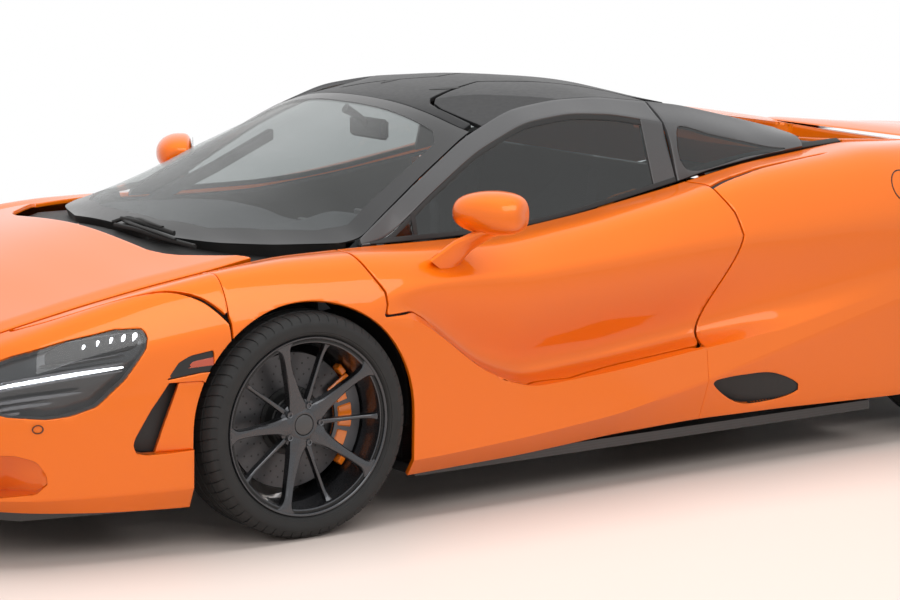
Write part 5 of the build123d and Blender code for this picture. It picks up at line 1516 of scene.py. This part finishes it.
def honeycomb(size, outline):
    # hexagonal rings, pitch apart in a row and every second row moved by half a pitch, kept
    # where their middles are inside the outline
    pitch, halfWidth = size["pitch"], size["halfWidth"]
    columns = int(2 * halfWidth / pitch) + 2
    rows = int((size["high"] - size["low"]) / (pitch * 0.866)) + 2
    row, column = np.meshgrid(np.arange(rows), np.arange(columns), indexing="ij")
    ys = -halfWidth + (column + 0.5 * (row % 2)) * pitch
    zs = size["low"] + row * pitch * 0.866
    ys, zs = ys.ravel(), zs.ravel()
    keep = outlineDistance(outline, ys, zs) > 0
    ys, zs = ys[keep], zs[keep]
    angles = np.radians(np.arange(6) * 60 + 30)
    outer, inner = pitch / math.sqrt(3), pitch / math.sqrt(3) - size["bar"]
    levels = ((outer, 0), (inner, 0), (inner, size["depth"]), (outer, size["depth"]))
    shape = np.array([(r * math.cos(a), r * math.sin(a), d) for r, d in levels for a in angles])
    verts = np.empty((len(ys), len(shape), 3))
    verts[..., 0] = size["x"] + shape[:, 2]
    verts[..., 1] = ys[:, None] + shape[:, 0]
    verts[..., 2] = zs[:, None] + shape[:, 1]
    faces = []
    for ring in range(3):
        for k in range(6):
            a, b = ring * 6 + k, ring * 6 + (k + 1) % 6
            c, d = a + 6, b + 6
            faces += [(a, c, b), (b, c, d)]
    starts = len(shape) * np.arange(len(ys))[:, None, None]
    return verts.reshape(-1, 3), (np.array(faces)[None] + starts).reshape(-1, 3)


makePiece("tailMesh", honeycomb(meshSize, meshOutline), satin, "body", ["rear_mesh"], smooth=False)
makePiece("tailMeshBack", blockPatch((-3352, -645, 466), (-3344, 645, 744), 2), satin)
stripSize = {"x": -3386, "width": 22.0, "height": 20.0}
stripLine = ((190, 716), (330, 712), (480, 704), (600, 690), (640, 655), (650, 600))
tailLines = []
for sign in (1, -1):
    path = curved([(stripSize["x"], sign * y, z) for y, z in stripLine], step=14.0)
    tailLines.append(flatArm(path, np.full(len(path), stripSize["width"]),
                             np.full(len(path), stripSize["height"]), 12))
makePiece("tailLampStrips", joinPatches(*tailLines), redGlow, "body", ["tail_lamps"])
plateSize = {"halfWidth": 260, "low": 449, "high": 559, "rim": 10}
half, low, high = plateSize["halfWidth"], plateSize["low"], plateSize["high"]
rim = plateSize["rim"]
holder = blockPatch((tailX - 6, -half - rim, low - 3), (tailX + 6, half + rim, high + 3), 4)
makePiece("plateHolder", holder, satin)
plate = blockPatch((tailX - 9, -half, low), (tailX - 5, half, high), 2)
makePiece("plateBlank", plate, plateWhite)
pipeSize = {"x": tailX + 4, "y": 105, "z": 620}
pipeProfile = np.array([(43, 0), (47, -3), (49, 0), (49, 60), (45, 62), (43, 60), (43, 0)], float)


def pipePatch(sign):
    # (radius, depth) turned about a line along the car
    angles = np.linspace(0, 2 * np.pi, 64, endpoint=False)
    rings = np.empty((len(pipeProfile), len(angles), 3))
    rings[..., 0] = pipeSize["x"] + pipeProfile[:, 1:]
    rings[..., 1] = sign * pipeSize["y"] + pipeProfile[:, :1] * np.cos(angles)
    rings[..., 2] = pipeSize["z"] + pipeProfile[:, :1] * np.sin(angles)
    return gridPatch(rings, closed=True)


makePiece("exhaustPipes", joinPatches(pipePatch(1), pipePatch(-1)), steel, "body", ["exhausts"])

# the wing: a section carried across the car
wingSection = curved(((-3040, 905), (-3120, 917), (-3220, 917), (-3320, 912), (-3400, 909),
                      (-3424, 909), (-3427, 903), (-3422, 898), (-3310, 886), (-3220, 890),
                      (-3120, 896), (-3050, 899)), closed=True, step=14.0)
wingSize = {"halfWidth": 790, "droop": 46, "droopReach": 250, "tipChord": 0.14, "middle": -3240}


def wingRings(size, count=61):
    # the section drawn in about its middle by 1 - tip * t^4, with t from 0 at the car's middle
    # to 1 at the tip, and let down at the rear by droop * t^2
    y = np.linspace(-size["halfWidth"], size["halfWidth"], count)[:, None]
    t = np.abs(y) / size["halfWidth"]
    chord = 1 - size["tipChord"] * t**4 - 0.3 * np.maximum(t - 0.95, 0) / 0.05
    along = size["middle"] + (wingSection[:, 0] - size["middle"]) * chord
    drop = size["droop"] * t**2 * np.clip((-3040 - along) / size["droopReach"], 0, 1)
    return np.stack([along, y + 0 * along, wingSection[:, 1] - drop], -1)


makePiece("wingBlade", loftPatch(wingRings(wingSize)), paint, "rear_wing", ["rear_wing"])
print("stage: tail made")

# cabin: seats, belts, dash, steering wheel and mirror
seatSize = {"y": 330, "pad": 12, "channel": 58, "shell": 34, "padShell": 6, "padReach": 0.62,
            "padRise": 3, "piping": 1.8, "pipingReach": 0.64}
# the seat's middle from front to head: x, z, half width, height of the side bolster
seatLine = ((-640, 372, 195, 18), (-700, 402, 215, 40), (-860, 398, 222, 52), (-1030, 384, 226, 58),
            (-1125, 392, 228, 66), (-1185, 460, 228, 74), (-1250, 580, 226, 72),
            (-1320, 710, 214, 56), (-1368, 800, 170, 34), (-1398, 862, 122, 16),
            (-1412, 915, 96, 6))


def seatGrid(rise=0.0, reach=1.0, columns=33, channel=0.0, trimEnds=0):
    # across the seat u goes from -1 to 1 and the surface rises from the middle line by
    # bolster * |u|^3.2; a pad adds cushions of pad * |sin(pi s / channel)|^0.35 along it
    line = curved(seatLine, step=12.0)
    if trimEnds:
        line = line[trimEnds:-trimEnds]
    along = np.gradient(line[:, [0, 1]], axis=0)
    along /= np.linalg.norm(along, axis=1, keepdims=True)
    normal = np.stack([-along[:, 1], along[:, 0]], 1)
    normal[normal[:, 1] < 0] *= -1
    travelled = np.concatenate([[0], np.cumsum(np.linalg.norm(np.diff(line[:, :2], axis=0),
                                                              axis=1))])
    u = np.linspace(-reach, reach, columns)[None, :]
    lift = line[:, 3:4] * np.abs(u) ** 3.2 + rise * (1 - (np.abs(u) / reach) ** 6)
    if channel:
        wave = np.abs(np.sin(np.pi * travelled / channel))[:, None] ** 0.35
        lift = lift + seatSize["pad"] * wave * (1 - (np.abs(u) / reach) ** 4)
    grid = np.empty((len(line), columns, 3))
    grid[..., 0] = line[:, 0:1] + normal[:, 0:1] * lift
    grid[..., 1] = seatSize["y"] - u * line[:, 2:3] * (1 - 0.10 * np.abs(u) ** 5)
    grid[..., 2] = line[:, 1:2] + normal[:, 1:2] * lift
    return grid


shellGrid = seatGrid()
seatShell = slab(gridPatch(shellGrid), seatSize["shell"])
seatPad = slab(gridPatch(seatGrid(rise=seatSize["padRise"], reach=seatSize["padReach"],
                                  channel=seatSize["channel"], trimEnds=5)), seatSize["padShell"])
makePiece("seatShells", bothSides(seatShell), suede, "body", ["seats"])
pads = makePiece("seatPads", bothSides(seatPad), suede)
piping = []
for u in (-seatSize["pipingReach"], seatSize["pipingReach"]):
    column = int(round((u + 1) / 2 * (shellGrid.shape[1] - 1)))
    piping.append(tubePatch(shellGrid[4:-4:2, column] + (0, 0, 2.5), seatSize["piping"], 6))
makePiece("seatPiping", bothSides(joinPatches(*piping)), beltCloth)
strapSize = {"half": 24, "thickness": 2, "proud": (6, 0, 10)}
strapLine = curved(((-1462, 560, 850), (-1392, 500, 812), (-1322, 452, 705), (-1262, 405, 610),
                    (-1196, 372, 492), (-1150, 350, 440)), step=12.0)
strapAcross = np.array([-1.0, 0.0, 1.0])[None, :, None] * (0, strapSize["half"], 0)
strap = gridPatch((strapLine + strapSize["proud"])[:, None] + strapAcross)
makePiece("beltStraps", bothSides(slab(strap, strapSize["thickness"])), beltCloth)

dashProfile = ((-96, 700), (-98, 752), (-112, 778), (-200, 788), (-330, 792), (-440, 790),
               (-520, 778), (-560, 748), (-566, 700), (-545, 650), (-470, 590), (-420, 566))


def dashGrid():
    # the profile carried across the car, raised by 42 exp(-((y - 355) / 120)^4) over the
    # instruments and let down by 14 mm away from the two seats
    profile = curved(dashProfile, step=14.0)
    ys = np.linspace(-590, 590, 85)
    grid = np.empty((len(profile), len(ys), 3))
    hood = np.exp(-((ys - 355) / 120) ** 4)[None, :]
    swell = np.exp(-((np.abs(ys) - 330) / 190) ** 4)[None, :]
    x, z = profile[:, :1], profile[:, 1:]
    top = np.clip((z - 740) / 40, 0, 1) * np.clip((-x - 330) / 120, 0, 1)
    grid[..., 0] = x - 10 * hood * top
    grid[..., 1] = ys[None, :]
    grid[..., 2] = z + 42 * hood * top - 14 * (1 - swell) * np.clip((-x - 150) / 200, 0, 1)
    return grid


makePiece("dashSkin", edged(gridPatch(dashGrid()[:, ::-1]), depth=6, roll=2), trim, "body",
          ["dashboard"])
console = joinPatches(blockPatch((-1150, -78, 150), (-450, 78, 388), 18),
                      blockPatch((-560, -72, 380), (-430, 72, 612), 14))
makePiece("consoleBlocks", console, trim)
dashFittings = joinPatches(blockPatch((-582, -85, 612), (-566, 85, 768), 6),
                           blockPatch((-588, 250, 752), (-574, 460, 832), 6))
makePiece("dashScreens", dashFittings, gloss)
wheelSize = {"x": -690, "y": 355, "z": 740, "radius": 160, "grip": 15, "tilt": 24, "flat": 0.86}


def steeringPlace(a, b, out=0.0):
    # a across, b up the tilted wheel and out towards the driver
    tilt = math.radians(wheelSize["tilt"])
    return np.stack([wheelSize["x"] - out * math.cos(tilt) - b * math.sin(tilt),
                     wheelSize["y"] + a + 0 * b,
                     wheelSize["z"] + b * math.cos(tilt) + out * math.sin(tilt)], -1)


# a round grip, flattened at the bottom where r sin a would fall below -flat
gripAngles = np.linspace(0, 2 * np.pi, 73)
ringRadius = wheelSize["radius"] * np.minimum(1, wheelSize["flat"]
                                              / np.maximum(-np.sin(gripAngles), 1e-6))
gripPath = steeringPlace(ringRadius * np.cos(gripAngles), ringRadius * np.sin(gripAngles))
wheelTubes = [tubePatch(gripPath, wheelSize["grip"], 12)]
for a0, b0 in ((-150, 0), (150, 0), (0, -132)):
    reach = np.array([0.12, 0.5, 1.0])
    wheelTubes.append(tubePatch(steeringPlace(reach * a0, reach * b0), (20, 14, 11), 10))
hubPath = steeringPlace(np.zeros(5), np.zeros(5), np.array([-26.0, -14, 4, 14, 18]))
wheelTubes.append(tubePatch(hubPath, (30, 52, 54, 44, 20), 28))
columnPath = steeringPlace(np.zeros(4), np.zeros(4), np.array([-190.0, -120, -60, -20]))
wheelTubes.append(tubePatch(columnPath, 27, 20))
makePiece("steeringWheel", joinPatches(*wheelTubes), trim, "body", ["steering_wheel"])
roomMirror = {"low": (-804, -105, 1018), "high": (-776, 105, 1084), "bevel": 12,
              "stalk": ((-782, 0, 1062), (-752, 0, 1090), (-700, 0, 1118)), "radii": (12, 10, 16)}
makePiece("roomMirror", joinPatches(
    blockPatch(roomMirror["low"], roomMirror["high"], roomMirror["bevel"]),
    tubePatch(roomMirror["stalk"], roomMirror["radii"], 12)), satin)
print("stage: cabin made")

# the solids that show as they are
cadShow = {
    "floor_pan": carbon, "tub_sides": carbon, "bulkheads": carbon, "front_pillars": trim,
    "luggage_tub": satin, "engine_block": casting, "suspension_arms": forged,
    "diffuser": carbon, "diffuser_fins": carbon, "rear_uprights": forged,
    "front_upright_left": forged, "front_upright_right": forged, "wheel_liners": satin,
    "half_shafts": forged,
}
for node, material in cadShow.items():
    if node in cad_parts:
        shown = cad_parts[node]
        shown.data.materials.clear()
        shown.data.materials.append(material)

# the camera, the floor and the light, in metres
view = {"place": (frontAxleX + 3.8271, 7.4504, 1.9321), "yaw": 33.495, "dip": 9.368,
        "lens": 108.93}
scene = bpy.context.scene
cameraData = bpy.data.cameras.new("camera")
cameraData.lens = view["lens"]
cameraData.sensor_width = 36.0
camera = bpy.data.objects.new("camera", cameraData)
scene.collection.objects.link(camera)
camera.location = view["place"]
yaw, dip = math.radians(view["yaw"]), math.radians(view["dip"])
looking = Vector((-math.sin(yaw) * math.cos(dip), -math.cos(yaw) * math.cos(dip), -math.sin(dip)))
camera.rotation_euler = looking.to_track_quat("-Z", "Y").to_euler()
scene.camera = camera
scene.view_settings.view_transform = "Standard"

# a broad light above, a softer one to the car's left that its paint mirrors, and a small one
# ahead; power in watts
softboxes = {
    "topSoftbox": dict(place=(0, 0, 6.0), target=(0, 0, 0), size=(7.0, 5.0), power=560,
                       mirrored=False),
    "sideSoftbox": dict(place=(0.6, 5.2, 4.4), target=(-0.5, 0, 0.7), size=(7.0, 3.2), power=150,
                        mirrored=True),
    "frontSoftbox": dict(place=(6.5, 3.0, 3.5), target=(1.0, 0, 0.5), size=(3.5, 2.5), power=80,
                         mirrored=False),
}
for lightName, box in softboxes.items():
    lightData = bpy.data.lights.new(lightName, "AREA")
    lightData.shape = "RECTANGLE"
    lightData.size, lightData.size_y = box["size"]
    lightData.energy = box["power"]
    light = bpy.data.objects.new(lightName, lightData)
    light.location = box["place"]
    towards = Vector(box["target"]) - Vector(box["place"])
    light.rotation_euler = towards.to_track_quat("-Z", "Y").to_euler()
    light.visible_glossy = box["mirrored"]
    scene.collection.objects.link(light)


def seenRays(tree):
    # 1 where the eye sees the surface itself, through glass or in a mirror, and 0 for other light
    rays = addNode(tree, "ShaderNodeLightPath").outputs
    direct = addNode(tree, "ShaderNodeMath", {0: rays["Is Camera Ray"],
                                              1: rays["Is Transmission Ray"]}, operation="MAXIMUM")
    return addNode(tree, "ShaderNodeMath", {0: direct.outputs[0], 1: rays["Is Glossy Ray"]},
                   operation="MAXIMUM").outputs[0]


studio = {"light": 0.34, "floor": "D6C9C1", "floorRoughness": 0.45, "fadeFrom": 3.4, "fadeTo": 5.6,
          "fadeMiddle": (0.3, 1.6, 0), "floorHalf": 60}
world = bpy.data.worlds.new("studio")
scene.world = world
world.use_nodes = True
level = addNode(world.node_tree, "ShaderNodeMapRange",
                {"Value": seenRays(world.node_tree), "To Min": studio["light"], "To Max": 1.0})
fillSockets(world.node_tree, world.node_tree.nodes["Background"],
            {"Color": (1, 1, 1, 1), "Strength": level.outputs[0]})

# a painted studio floor that keeps the shadow near the car and eases into the white around it
half = studio["floorHalf"]
floorMesh = bpy.data.meshes.new("floor")
floorMesh.from_pydata([(-half, -half, 0), (half, -half, 0), (half, half, 0), (-half, half, 0)], [],
                      [(0, 1, 2, 3)])
floor = bpy.data.objects.new("floor", floorMesh)
scene.collection.objects.link(floor)
floorMaterial, tree, floorShader, floorCoords = newMaterial("floorPale", "")
fillSockets(tree, floorShader, {"Base Color": linearFromHex(studio["floor"]),
                                "Roughness": studio["floorRoughness"]})
reach = addNode(tree, "ShaderNodeVectorMath", {0: floorCoords, 1: studio["fadeMiddle"]},
                operation="DISTANCE").outputs["Value"]
whiten = addNode(tree, "ShaderNodeMapRange",
                 {"Value": reach, "From Min": studio["fadeFrom"], "From Max": studio["fadeTo"],
                  "To Min": 0.0, "To Max": 1.0})
share = addNode(tree, "ShaderNodeMath", {0: whiten.outputs[0], 1: seenRays(tree)},
                operation="MULTIPLY")
whiteGlow = addNode(tree, "ShaderNodeEmission", {"Color": (1, 1, 1, 1), "Strength": 1.0})
ground = addNode(tree, "ShaderNodeMixShader", {0: share.outputs[0], 1: floorShader.outputs[0],
                                               2: whiteGlow.outputs[0]})
fillSockets(tree, tree.nodes["Material Output"], {"Surface": ground.outputs[0]})
floorMesh.materials.append(floorMaterial)
print("stage: camera, floor and light placed")
